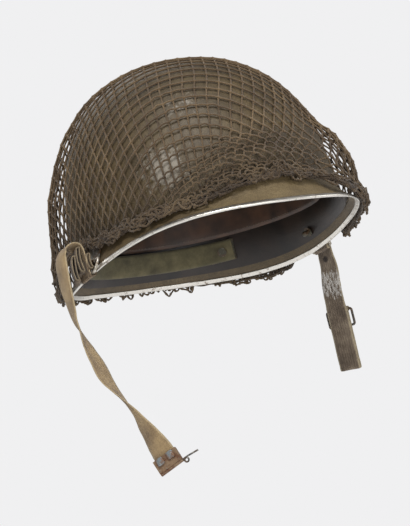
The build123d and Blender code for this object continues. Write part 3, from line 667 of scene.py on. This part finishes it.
def netPoint(angle, rise, stand):
    # below the edge the net hangs plumb
    angle, rise, stand = alike(angle, rise, stand)
    top = np.maximum(rise, 0)
    drop = sizeOf(shellPoint(angle, rise) - shellPoint(angle, top))
    radial = np.stack([np.sin(angle), -np.cos(angle), 0 * angle], -1)
    plumb = np.array([0, 0, -1]) - radial * netForm["tuck"]
    return skinPoint(angle, top, stand) + plumb * drop[..., None]


# The drape as a table of its reach from the net's centre, for each turn and lift of the way there
turnSteps, liftSteps = 180, 150
turnTable = wholeTurn(turnSteps) - math.pi
liftTable = np.linspace(-0.75, math.pi / 2, liftSteps)


def makeDrape():
    rise = np.linspace(-0.45, 2.0, 400)
    radii = np.zeros((turnSteps, liftSteps))
    hems = np.zeros(turnSteps)
    for number, angle in enumerate(turnTable):
        line = netPoint(angle, rise, netSlack(angle, rise) + netForm["wall"] / 2) - netForm["centre"]
        ahead = line[:, :2] @ np.array([math.sin(angle), -math.cos(angle)]) > 0
        lift = np.arctan2(line[:, 2], sizeOf(line[:, :2]) * np.where(ahead, 1, -1))
        lift = np.maximum.accumulate(np.minimum(lift, math.pi / 2))
        radii[number] = np.interp(liftTable, lift, sizeOf(line))
        hems[number] = np.interp(hemRise(angle), rise, lift)
    return radii, hems


drapeRadius, drapeHem = makeDrape()


def inTurn(turn):
    place = (turn + math.pi) / fullTurn * turnSteps
    column = np.floor(place).astype(int)
    return column % turnSteps, (column + 1) % turnSteps, place - column


def inTable(table, turn, lift=None):
    first, second, share = inTurn(turn)
    if lift is None:
        return table[first] * (1 - share) + table[second] * share
    level = np.clip((lift - liftTable[0]) / (liftTable[1] - liftTable[0]), 0, liftSteps - 1.001)
    row = level.astype(int)
    part = level - row
    low = table[first, row] * (1 - share) + table[second, row] * share
    high = table[first, row + 1] * (1 - share) + table[second, row + 1] * share
    return low * (1 - part) + high * part


def directionOf(points):
    away = points - netForm["centre"]
    return np.arctan2(away[..., 0], -away[..., 1]), np.arctan2(away[..., 2], sizeOf(away[..., :2]))


def wayOf(turn, lift):
    return np.stack([np.sin(turn) * np.cos(lift), -np.cos(turn) * np.cos(lift), np.sin(lift)], -1)


def drapePoint(turn, lift, stand=0.0):
    return netForm["centre"] + wayOf(turn, lift) * (inTable(drapeRadius, turn, lift) + stand)[..., None]


def layNet(form):
    # knots of the flat mesh, laid on the drape: stretched on the bias, gathered above the hem
    count = form["half"] * 2 + 1
    steps = np.arange(count) - form["half"]
    first = unit(np.array(form["axis"]))
    second = np.array([-first[1], first[0]])
    flat = (steps[:, None, None] * first + steps[None, :, None] * second) * form["mesh"]
    used = np.abs(steps)[:, None] + np.abs(steps)[None, :] <= form["corner"] * form["half"]
    wander = np.stack([smoothNoise(flat, form["swaySize"], seed) for seed in (5, 9)], -1)
    flat = flat + (wander + rng.uniform(-0.3, 0.3, flat.shape)) * form["sway"]
    radius = sizeOf(flat)
    turn = np.arctan2(flat[..., 0], -flat[..., 1])
    lifts = np.linspace(math.pi / 2, liftTable[0], 300)
    arcs = np.array([lengthsAlong(drapePoint(angle + 0 * lifts, lifts)) for angle in turnTable])
    hems = np.array([np.interp(-hem, -lifts, arc) for hem, arc in zip(drapeHem, arcs)])
    reach = inTable(hems, turn)
    bias = np.sin(2 * (turn - math.atan2(first[0], -first[1]))) ** 2
    low = np.clip(radius / reach, 0, 1)
    radius = radius * (1 + form["stretch"] * bias * low * low)
    tall, full = byAngle(gathers, turn, 1), byAngle(gathers, turn, 2)
    into = np.clip((radius - reach + tall) / (tall * full), 0, 1)
    arc = np.where(into > 0, reach - tall * (1 - into) ** form["crowd"], radius)
    before, after, share = inTurn(turn)
    found = []
    for columns in (before, after):
        lift = [np.interp(a, arcs[column], lifts) for a, column in zip(arc.ravel(), columns.ravel())]
        found.append(np.reshape(lift, radius.shape))
    lift = found[0] * (1 - share) + found[1] * share
    points = drapePoint(turn, lift)
    for number in range(form["rounds"]):
        for axis in (0, 1):
            for begin in (0, 1):
                # knots joined by every second mesh side are drawn together where it is overlong
                one = (slice(None),) * axis + (slice(begin, count - 1, 2),)
                other = (slice(None),) * axis + (slice(begin + 1, count, 2),)
                apart = points[other] - points[one]
                length = sizeOf(apart)[..., None]
                bothUsed = (used[one] & used[other])[..., None]
                over = 1 - np.minimum(length, form["mesh"]) / np.maximum(length, tiny)
                shift = np.where(bothUsed, apart * over / 2, 0)
                points[one] += shift
                points[other] -= shift
        points = drapePoint(*directionOf(points))
    return points, used, into


def outwardOf(points):
    turn, lift = directionOf(points)
    step = 0.02
    across = drapePoint(turn + step, lift) - drapePoint(turn - step, lift)
    normal = np.cross(across, drapePoint(turn, lift + step) - drapePoint(turn, lift - step))
    return unit(np.where(sizeOf(normal)[..., None] < tiny ** 3, wayOf(turn, lift), normal))


knots, knotsUsed, knotsGathered = layNet(netForm)
knotTurn, knotLift = directionOf(knots)
knotHem = inTable(drapeHem, knotTurn)
print("net eased")


# Gathers: size of the roll at the hem, how its cords stray, and the folds above it
gatherForm = {"tall": 5.8, "deep": 2.0, "near": 0.02, "fuzz": 1.0, "fold": 2.3, "folds": 3.0, "reach": 130,
              "strayTurn": 0.012, "strayLift": 0.014, "slack": 0.42}


def gatheredKnots(form):
    # knots that reach the hem are crammed into its roll; the rest lie on the drape with slight waves
    reached = knotLift <= knotHem + 0.012
    stir = rng.uniform(-1, 1, knots.shape)
    lift = np.where(reached, knotHem + (0.35 + stir[..., 0]) * form["tall"] / form["reach"], knotLift)
    phase = knotsGathered * form["folds"] * fullTurn + 2.6 * smoothNoise(knots, 30.0, 4)
    full = np.clip(byAngle(gathers, knotTurn) / 20 - 0.6, 0, 1)
    folds = np.clip(knotsGathered * 3, 0, 1) * full * form["fold"] * (1 + np.sin(phase) + 0.6 * stir[..., 1])
    loose = np.maximum(folds, 0) + 0.2 * smoothNoise(knots, 21.0, 8)
    stand = np.where(reached, form["deep"] * (1 + stir[..., 1]), loose)
    turn = knotTurn + stir[..., 2] * np.where(reached, form["near"], form["strayTurn"] * knotsGathered * full)
    lift = lift + stir[..., 0] * np.where(reached, 0, form["strayLift"] * knotsGathered * full)
    return drapePoint(turn, lift, stand), reached


laidKnots, inHem = gatheredKnots(gatherForm)


def cordBetween(start, end, startNormal, endNormal, tangled, seed):
    # one mesh side: straight when taut, arched upwards and outwards when it is slack
    steps = np.array([0.0, 0.14, 0.38, 0.62, 0.86])
    apart = end - start
    length = sizeOf(apart)[..., None]
    slack = np.sqrt(np.clip(netForm["mesh"] ** 2 - length ** 2, 0, None)) * gatherForm["slack"]
    normal = unit(startNormal + endNormal)
    upward = np.array([0, 0, 1.0]) - normal * normal[..., 2:]
    along = apart / np.maximum(length, tiny)
    upward = upward - along * np.sum(upward * along, -1, keepdims=True)
    upward = upward / np.maximum(sizeOf(upward), 0.2)[..., None]
    noise = np.random.default_rng(seed).uniform(-1, 1, start.shape[:-1] + (3,))
    bulge = upward * (0.45 + 0.3 * noise[..., :1]) + normal * (0.22 + 0.2 * noise[..., 1:2])
    wild = upward * noise[..., :1] * 1.5 + normal * (0.5 + 0.5 * noise[..., 1:2])
    wild = wild + along * noise[..., 2:] * 0.5
    bulge = np.where(tangled[..., None], wild * gatherForm["fuzz"], bulge) * slack
    arch = 4 * steps * (1 - steps)
    return start[..., None, :] + apart[..., None, :] * steps[:, None] + bulge[..., None, :] * arch[:, None]


def makeNet(form):
    normals = outwardOf(knots)
    widths = np.array([form["knot"], form["cord"] * 1.12, form["cord"], form["cord"], form["cord"] * 1.12])
    tubes = []
    for axis, layer in ((0, -form["layer"]), (1, form["layer"])):
        ways = [np.swapaxes(part, 0, axis) for part in (laidKnots, normals, knotsUsed, inHem)]
        grid, facing, used, hemmed = ways
        for line in range(len(grid)):
            inUse = np.nonzero(used[line])[0]
            if len(inUse) < 3:
                continue
            row = grid[line, inUse]
            face = facing[line, inUse]
            tangled = hemmed[line, inUse]
            both = tangled[:-1] & tangled[1:]
            path = cordBetween(row[:-1], row[1:], face[:-1], face[1:], both, line + 100 * axis)
            path = np.concatenate([path.reshape(-1, 3), row[-1:]])
            loose = np.append(np.repeat(tangled[:-1] | tangled[1:], 5), False)[1:-1, None]
            for number in range(form["soften"]):
                path[1:-1] = np.where(loose, (path[:-2] + 2 * path[1:-1] + path[2:]) / 4, path[1:-1])
            side = np.concatenate([np.repeat(face[:-1], 5, axis=0), face[-1:]])
            width = np.concatenate([np.tile(widths, len(row) - 1), widths[:1]])
            tubes.append((tubeRings((path + side * layer) * mm, side, width * mm), False))
    piece = joinTubes("cordNet", tubes, twine, "net")
    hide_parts("helmet_net")


makeNet(netForm)
print("net knotted")


# Draw cord and the net's last row, twisted together along the hem, with loops that stick out
hemForm = {"radius": 2.4, "strands": 6, "steps": 540, "loops": 210, "cord": 0.72, "girth": 120, "lay": 11,
           "loopSize": (2.2, 4.6), "loopStand": (0.6, 3.6), "loopReach": 125, "below": 1.5}


def hemPlace(angle, swing, spread):
    rise = hemRise(angle)
    up = riseAlong(angle, spread * np.sin(swing))
    middle = netForm["wall"] + 0.6 * hemForm["radius"]
    return netPoint(angle, rise + up, netSlack(angle, rise) + middle + 0.75 * spread * np.cos(swing))


def makeHem(form):
    angle = wholeTurn(form["steps"])
    circle = circleOf(angle, form["girth"])
    tubes = []
    for strand in range(form["strands"]):
        swing = strand / form["strands"] * fullTurn + angle * form["lay"]
        swing = swing + 1.4 * smoothNoise(circle, 19.0, strand + 30)
        spread = form["radius"] * (0.8 + 0.5 * smoothNoise(circle, 9.0, strand + 50))
        points = hemPlace(angle, swing, spread)
        tubes.append((tubeRings(points * mm, outward(angle, hemRise(angle)), form["cord"] * mm), True))
    for number in range(form["loops"]):
        at = rng.uniform(0, fullTurn)
        size = rng.uniform(*form["loopSize"])
        lean = rng.uniform(-0.7, 0.7)
        turns = np.linspace(-0.5, math.pi + 0.5, 16)
        wide = size * np.cos(turns) * rng.uniform(0.5, 1.1)
        tall = size * (0.3 + np.sin(turns)) * rng.choice([-1, 1], p=[0.45, 0.55])
        angles = at + (wide + lean * tall * 0.6) / form["loopReach"]
        rise = hemRise(angles) + riseAlong(angles, tall)
        if hemRise(angles).min() < 0:
            # where the hem hangs under the edge, no loop hangs far below it
            rise = np.maximum(rise, hemRise(angles) - riseAlong(angles, form["below"] + 0 * angles))
        stand = netForm["wall"] + rng.uniform(*form["loopStand"]) + 0.6 * np.sin(turns)
        stand = stand + netSlack(angles, rise)
        points = netPoint(angles, rise, stand)
        tubes.append((tubeRings(points * mm, outward(angles, rise), form["cord"] * mm), False))
    piece = joinTubes("netHem", tubes, darkerHemTwine, "net")
    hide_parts("net_hem")


makeHem(hemForm)
print("hem gathered")


# Suspension inside the liner: webbing and leather at depths inside the steel's outside, in millimetres
liningForm = {
    "webbing": 1.4,
    "crown": {"width": 19.0, "thick": 1.4, "wave": 0.2},
    "bandOuter": 7.044,      # depth of the headband web behind its washers
    "bandSag": 4.0,          # and how far it comes in between them
    "bandLow": 51.0,
    "bandHigh": 70.0,
    "sweatOuter": 14.044,
    "sweatWall": 1.5,
    "sweatLow": 38.0,
    "washerHigh": 81.0,
    "napeOuter": 7.594,
    "napeSag": 9.0,
    "napeLow": 17.0,
    "napeHigh": 36.0,
    "napeAngle": 42.0,
    "napeLap": 5.5,          # how far the nape band runs on past its angle, at this reach
    "napeReach": 60,
    "laceRing": (0, 4, 139),
    "laceReach": 27.0,
    "laceRadius": 1.5,
    "bulge": 0.72,           # how round a crown strap bends over the head, where 0 is straight
    "wave": 0.16,            # unevenness of the bands
    "reach": 120,
    "girth": 105.0,          # sweatband's reach, for its stitches
    "stitch": 3.4,           # sweatband stitches, drawn coarser than the real 2.5 mm so that they show
}


def insidePoint(angle, height, depth):
    angle, height, depth = alike(angle, height, depth)
    low, high = np.zeros(angle.shape), np.full(angle.shape, 2.0)
    for number in range(28):
        middle = (low + high) / 2
        below = skinPoint(angle, middle, -depth)[..., 2] < height
        low = np.where(below, middle, low)
        high = np.where(below, high, middle)
    return skinPoint(angle, low, -depth)


def liningPoint(angle, height, depth):
    foot = insidePoint(angle, liningForm["sweatLow"], depth)
    top = insidePoint(angle, liningForm["washerHigh"], depth)
    share = (height - liningForm["sweatLow"]) / (liningForm["washerHigh"] - liningForm["sweatLow"])
    return foot + (top - foot) * np.asarray(share)[..., None]


def bandMesh(name, place, angle, low, high, depth, wall, material, closed):
    # a band round the inside, with rounded edges; depth follows the angle
    share = np.linspace(0, 1, 9)
    half = wall / 2 * np.sqrt(np.clip(1 - np.abs(2 * share - 1) ** 10, 0.09, 1))
    heights = np.concatenate([low + (high - low) * share, high - (high - low) * share])
    swell = np.concatenate([-half, half[::-1]])
    turns, levels = alike(angle[:, None], heights[None])
    wave = liningForm["wave"] * smoothNoise(np.stack([turns * liningForm["reach"], levels], -1), 9.0, 12)
    points = place(turns, levels, depth[:, None] + wall / 2 + swell[None] + wave) * mm
    length = lengthsAlong(points.mean(1))
    uv = np.stack(alike(length[:, None], heights[None] * mm), -1).reshape(-1, 2)
    return addMesh(name, points.reshape(-1, 3), loftGrid(points, closedAlong=closed), uv, material, "liner")


def makeSuspension(form):
    angle = wholeTurn(288)
    sag = form["bandOuter"] + form["bandSag"] * (1 + np.cos(6 * angle)) / 2
    band = bandMesh("headbandWebbing", liningPoint, angle, form["bandLow"], form["bandHigh"], sag,
                    form["webbing"], innerWebbing, True)
    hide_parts("headband_web")
    leatherBand = bandMesh("leatherSweatband", liningPoint, angle, form["sweatLow"], form["bandHigh"],
                           np.full(len(angle), form["sweatOuter"]), form["sweatWall"], leather, True)
    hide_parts("sweatband")
    inner = form["sweatOuter"] + form["sweatWall"]
    stitches = []
    count = int(fullTurn * form["girth"] / form["stitch"])
    turns = (np.arange(count)[:, None] + np.array([0.12, 0.3, 0.5, 0.7])) / count * fullTurn
    depth = inner + np.array([-0.1, 0.22, 0.22, -0.1]) + 0 * turns
    for edge in (form["sweatLow"] + 3, form["bandHigh"] - 3):
        for turn, path in zip(turns, liningPoint(turns, edge + 0 * turns, depth) * mm):
            stitches.append((tubeRings(path, outward(turn, turn * 0 + 1.2), 0.28 * mm), False))
    seam = joinTubes("sweatbandStitches", stitches, twine, "liner")
    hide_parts("sweatband")
    first = math.pi - math.radians(form["napeAngle"])
    lap = form["napeLap"] / form["napeReach"]
    turns = np.linspace(first - lap, fullTurn - first + lap, 90)
    share = np.clip((turns - first) / (2 * math.radians(form["napeAngle"])), 0, 1)
    sag = form["napeOuter"] + form["napeSag"] * np.sin(math.pi * share) ** 2
    nape = bandMesh("napeWebbing", insidePoint, turns, form["napeLow"], form["napeHigh"], sag,
                    form["webbing"], innerWebbing, False)
    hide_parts("nape_band")


def makeCrown(form):
    ring = np.array(form["laceRing"])
    middle = form["bandOuter"] + form["webbing"] / 2
    strapTurns = np.radians(30 + 60 * np.arange(6))
    for number, angle in enumerate(strapTurns):
        radial = np.array([math.sin(angle), -math.cos(angle), 0])
        laceWay = np.array([math.cos(angle), math.sin(angle), 0])
        low = liningPoint(angle, form["bandHigh"] + 0.15 + form["webbing"], middle)
        leave = liningPoint(angle, form["washerHigh"] + form["webbing"], middle)
        beside = [insidePoint(angle + step, form["washerHigh"], middle) for step in (-0.001, 0.001)]
        wallWay = unit(beside[1] - beside[0])
        loop = form["laceRadius"] + 0.08 + form["webbing"] / 2
        goal = ring + radial * form["laceReach"]
        end = goal + radial * loop
        rows = [[*low, 0.0], [*((low + leave) / 2), 0.0]]
        for share in np.linspace(0, 1, 9):
            outShare = form["bulge"] * math.cos(math.pi / 2 * share) + (1 - form["bulge"]) * (1 - share)
            upShare = form["bulge"] * math.sin(math.pi / 2 * share) + (1 - form["bulge"]) * share
            flat = end + (leave - end) * outShare
            rows.append([flat[0], flat[1], leave[2] + (end[2] - leave[2]) * upShare, share])
        for swing in np.linspace(0, 1.62 * math.pi, 10)[1:]:
            rows.append([*(goal + (radial * math.cos(swing) + (0, 0, math.sin(swing))) * loop), 1.0])
        rows = smoothRows(rows, 6)
        across = wallWay * (1 - rows[:, 3:]) + laceWay * rows[:, 3:]
        strap = webbingMesh(f"crownWebbing{number + 1}", rows[:, :3] * mm, across, form["crown"],
                            innerWebbing, "liner", 20 + number)
        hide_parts(f"crown_strap_{number + 1}")
    turns = wholeTurn(144)
    sides = np.clip(np.cos(turns[:, None] - strapTurns), 0, 1)
    reach = form["laceReach"] * (sides ** 16).sum(-1) ** (-1 / 16)
    path = ring + np.stack([np.sin(turns) * reach, -np.cos(turns) * reach, 0 * turns], -1)
    rings = tubeRings(path, np.broadcast_to((0, 0, 1.0), path.shape), form["laceRadius"], 8)
    lace = joinTubes("crownLace", [(rings * mm, True)], twine, "liner")
    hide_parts("crown_lace")


makeSuspension(liningForm)
makeCrown(liningForm)
print("suspension hung")


# Chin straps. Both are worked out on the wearer's left, in millimetres from the bail's lower bar.
strapForm = {"width": 19.0, "thick": 1.5, "wire": 1.2, "gap": 0.08}
strapBar = np.array(strapJoint["pos_m"]) / mm
lugBack = -np.array(strapJoint["axis"])
lugOut = unit(np.cross(lugBack, (0, 0, 1)))
lugUp = np.cross(lugOut, lugBack)
sleeveRadius = strapForm["wire"] + strapForm["gap"] + strapForm["thick"] / 2


def mirrored(points):
    return points * np.array([-1, 1, 1])


def swung(way, degreesRound):
    swing = np.radians(degreesRound)
    cosine, sine = np.cos(swing), np.sin(swing)
    out, back, up = way
    return np.stack([out * cosine - back * sine, out * sine + back * cosine, up + 0 * swing], -1)


longForm = {**strapForm, "reach": 19.4, "rise": 26.0, "drop": 162.0, "cup": 0.9, "wave": 0.5}
# Shares of its reach outwards and backwards, of its rise or drop from the bar, and its twist in degrees
longStations = (
    (0.105, 0.0, 0.2, 0), (0.105, 0.0, 0.42, 0), (0.105, 0.0, 0.64, 0), (0.125, 0.0, 0.86, 0),
    (0.24, 0.02, 1.0, 0), (0.44, 0.1, 1.05, 0), (0.66, 0.26, 0.97, 0), (0.85, 0.42, 0.7, 0),
    (0.95, 0.46, 0.08, 0), (1.0, 0.32, -0.1, 8), (1.0, 0.16, -0.2, 19), (1.0, -0.1, -0.27, 36),
    (0.96, -0.33, -0.36, 55), (0.86, -0.62, -0.45, 68), (0.72, -0.88, -0.55, 66), (0.31, -1.35, -0.68, 36),
    (0.08, -1.7, -0.78, 8), (-0.14, -2.03, -0.88, -20), (-0.26, -2.26, -0.94, -36), (-0.36, -2.45, -1.0, -40),
)


def roundBar(swings):
    # the first rows of a strap: round the bail's bar, without twist
    ways = [lugOut * math.cos(swing) + lugUp * math.sin(swing) for swing in swings]
    return [[*(strapBar + way * sleeveRadius), 0.0] for way in ways]


def longPoint(out, back, up):
    level = lugUp * longForm["rise"] * up if up > 0 else np.array([0, 0, longForm["drop"] * up])
    return strapBar + np.array([out, back, 0]) * longForm["reach"] + level


def makeLongStrap(form):
    # round the bail's bar, up over the lug, down beside it and twisting towards the clamp
    rows = roundBar(np.linspace(-1.35 * math.pi, 0, 8)[:-1])
    for out, back, up, swing in longStations:
        rows.append([*longPoint(out, back, up), swing])
    rows = smoothRows(rows, 9)
    path = mirrored(rows[:, :3]) * mm
    across = mirrored(swung(lugBack, rows[:, 3]))
    piece = webbingMesh("longChinStrap", path, across, form, longWebbing, "strap_right", 2)
    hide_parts("chin_strap_right")


makeLongStrap(longForm)


# Spare webbing beside the bail: three loops, each turned, bowed and hung a little further than the last
bundleForm = {**strapForm, "heights": (14.0, 22.0, 22.0), "deep": 4.0, "gap": 0.5, "wave": 0.6, "bow": 1.2,
              "turns": (8, 18, 24), "drops": (0.0, -1.6, -4.2)}


def makeBundle(form):
    deep, height = form["deep"], np.array(form["heights"])
    strapOut = longStations[0][0] * longForm["reach"]
    beside = form["thick"] / 2 + form["gap"] + deep / 2
    outs = strapOut + np.array([-beside, beside, beside + deep + form["gap"]])
    lows = sleeveRadius + form["thick"] / 2 + form["gap"] + np.array([0, 0, -deep])
    hub = strapBar + (strapOut + deep / 2) * lugOut
    for number, turn in enumerate(form["turns"]):
        half = (deep - form["thick"]) / 2
        straight = height[number] / 2 - deep / 2
        rows = []
        for start, middle in ((0, straight), (math.pi, -straight)):
            for swing in np.linspace(start, start + math.pi, 7):
                rows.append((half * math.cos(swing), middle + half * math.sin(swing)))
        rows = np.array(rows + [rows[0]]) + (outs[number], lows[number] + height[number] / 2)
        path = smoothRows(strapBar + rows[:, :1] * lugOut + rows[:, 1:] * lugUp, 4)
        level = (path - strapBar) @ lugUp
        level = (level - level.min()) / (level.max() - level.min())
        path = path + np.sin(math.pi * level)[:, None] * form["bow"] * lugOut + lugUp * form["drops"][number]
        path = hub + swung((path - hub).T, turn)
        across = np.broadcast_to(mirrored(swung(lugBack, turn)), path.shape)
        piece = webbingMesh(f"foldedWebbing{number + 1}", mirrored(path) * mm, across, form, shadedBundleWebbing,
                            "strap_right", 7 + number)
        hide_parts("strap_folds_right")


makeBundle(bundleForm)


# Grey plates riveted on the end clamp, squarish with a domed middle
tabForm = {"size": 6.2, "apart": 9.8, "front": 2.75, "thick": 0.5, "from": -8.0, "dome": 0.25, "corner": 0.4}
# Each ring's share of the size, of the thickness and of the dome
tabRings = ((1.0, 0.0, 0.0), (1.0, 0.7, 0.0), (0.93, 1.0, 0.0), (0.5, 1.0, 1.0), (0.25, 1.0, 2.0),
            (0.12, 1.0, 2.4))


def makeTabs(form):
    ends = [longPoint(*station[:3]) for station in longStations[-2:]]
    along = unit(ends[1] - ends[0])
    across = swung(lugBack, longStations[-1][3])
    across = unit(across - along * across.dot(along))
    front = np.cross(along, across)
    outline = circleOf(wholeTurn(24), 1)
    outline = np.sign(outline) * np.abs(outline) ** form["corner"] * form["size"] / 2
    flat = outline[:, :1] * across + outline[:, 1:] * along
    for number, side in enumerate((-1, 1)):
        middle = ends[1] + across * side * form["apart"] / 2 + along * (form["from"] + form["size"] / 2)
        rings = []
        for share, wall, dome in tabRings:
            stand = form["front"] + form["thick"] * wall + form["dome"] * dome
            rings.append(middle + flat * share + front * stand)
        rings = mirrored(np.array(rings)) * mm
        faces = loftGrid(rings)
        tab = addMesh(f"clampTab{number + 1}", rings.reshape(-1, 3), faces, None, tabSteel, "strap_right")


makeTabs(tabForm)


shortForm = {**strapForm, "drop": 115.0, "plumb": 0.3, "foldGap": 3.4, "foldRise": 52.0, "bar": 1.1,
             "wave": 0.35}
# Shares of its drop outwards, backwards and down, and its twist in degrees
shortStations = (
    (0.0, 0.0, 0.018, 0), (0.01, 0.0, 0.07, 2), (0.022, 0.01, 0.16, 8), (0.03, 0.03, 0.3, 16),
    (0.04, 0.045, 0.45, 22), (0.055, 0.06, 0.62, 26), (0.07, 0.075, 0.8, 27), (0.08, 0.085, 0.94, 27),
)


def makeShortStrap(form):
    # round the bail's bar, down to the fold, up behind itself and round the buckle's bar
    front = []
    for out, back, down, swing in shortStations:
        plumb = min(down / form["plumb"], 1)
        up = lugUp + (np.array([0, 0, 1]) - lugUp) * plumb
        front.append([*(strapBar + (np.array([out, back, 0]) - up * down) * form["drop"]), swing])
    front = np.array(front)
    along = unit(front[-1, :3] - front[-2, :3])
    across = swung(lugBack, front[-1:, 3])[0]
    across = unit(across - along * across.dot(along))
    outWay = np.cross(along, across)
    rows = roundBar(np.linspace(1.42 * math.pi, 0.12 * math.pi, 8))
    rows = smoothRows(rows + front[1:].tolist(), 8)
    sides = swung(lugBack, rows[:, 3])
    end = front[-1, :3]
    half = form["foldGap"] / 2
    swing = np.linspace(0, math.pi, 9)[1:, None]
    fold = end + outWay * half - (outWay * np.cos(swing) - along * np.sin(swing)) * half
    back = end + outWay * form["foldGap"] - along * form["foldRise"] * np.linspace(0, 0.94, 20)[1:, None]
    loop = form["bar"] + form["gap"] + form["thick"] / 2
    bar = end + outWay * (form["foldGap"] + loop) - along * form["foldRise"]
    swing = np.linspace(0, 1.55 * math.pi, 12)[:, None]
    sleeve = bar - (outWay * np.cos(swing) + along * np.sin(swing)) * loop
    path = np.concatenate([rows[:, :3], fold, back, sleeve])
    sides = np.concatenate([sides, np.broadcast_to(across, (len(path) - len(sides), 3))])
    piece = webbingMesh("shortChinStrap", path * mm, sides, form, shortWebbing, "strap_left", 4)
    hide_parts("chin_strap_left")


makeShortStrap(shortForm)
print("straps hung")


# Stage: a pale floor and soft light from all round
stageForm = {"floor": -0.45, "size": 14.0, "floorColour": "#f2f2f3", "skyColour": "#f0f0f1", "glow": 0.72,
             "fade": (1.2, 3.0), "skyLight": 0.46}


def makeFloor(form):
    look = Surface("palePaper", 0.9)
    tree = look.tree
    look.shader.inputs["Base Color"].default_value = toLinear(form["floorColour"])
    # part of the paper's own light comes from its colour, so it stays pale and keeps a faint shadow
    light = addNode(tree, "Emission", inputs={"Color": form["skyColour"]})
    glow = look.maths("MULTIPLY", addNode(tree, "LightPath").outputs["Is Camera Ray"], form["glow"])
    paper = addNode(tree, "MixShader", inputs={0: glow, 1: look.shader.outputs[0], 2: light.outputs[0]})
    # it fades into the backdrop far out, and isn't seen from below
    fade = look.eased(look.apart(look.spot, (0, 0, 0)), *form["fade"])
    gone = look.maths("MAXIMUM", fade, addNode(tree, "NewGeometry").outputs["Backfacing"])
    clear = addNode(tree, "BsdfTransparent")
    seen = addNode(tree, "MixShader", inputs={0: gone, 1: paper.outputs[0], 2: clear.outputs[0]})
    tree.links.new(seen.outputs[0], tree.nodes["Material Output"].inputs["Surface"])
    size = form["size"]
    corners = [(x * size, y * size, form["floor"]) for x, y in ((-1, -1), (1, -1), (1, 1), (-1, 1))]
    floor = addMesh("floorPaper", corners, [(0, 1, 2, 3)], None, look.material, None, False)


def makeRoom(form):
    world = bpy.data.worlds.new("paleRoom")
    bpy.context.scene.world = world
    world.use_nodes = True
    tree = world.node_tree
    lit = addNode(tree, "Background", inputs={"Color": "#ffffff", "Strength": form["skyLight"]})
    shown = addNode(tree, "Background", inputs={"Color": form["skyColour"]})
    ray = addNode(tree, "LightPath").outputs["Is Camera Ray"]
    mixed = addNode(tree, "MixShader", inputs={0: ray, 1: lit.outputs[0], 2: shown.outputs[0]})
    tree.links.new(mixed.outputs[0], tree.nodes["World Output"].inputs["Surface"])


makeFloor(stageForm)
makeRoom(stageForm)

lampForms = {
    "keySoftbox": {"place": (-1.2, -1.3, 2.2), "size": 1.1, "power": 52.0},
    "fillSoftbox": {"place": (1.9, -1.2, 0.9), "size": 1.6, "power": 14.0},
    "backSoftbox": {"place": (0.4, 2.0, 1.8), "size": 1.6, "power": 22.0},
    "lowSoftbox": {"place": (-0.5, -1.5, -0.35), "size": 1.1, "power": 11.0},
}
lampGoal = (0, 0, 0.05)


def makeLamp(name, form):
    data = bpy.data.lights.new(name, "AREA")
    data.size = form["size"]
    data.energy = form["power"]
    back = unit(np.subtract(form["place"], lampGoal))
    side = unit(np.cross((0, 0, 1), back))
    placeObject(name, data, side, np.cross(back, side), back, form["place"])


for name, form in lampForms.items():
    makeLamp(name, form)
print("stage lit")

bpy.context.scene.view_settings.view_transform = "Standard"
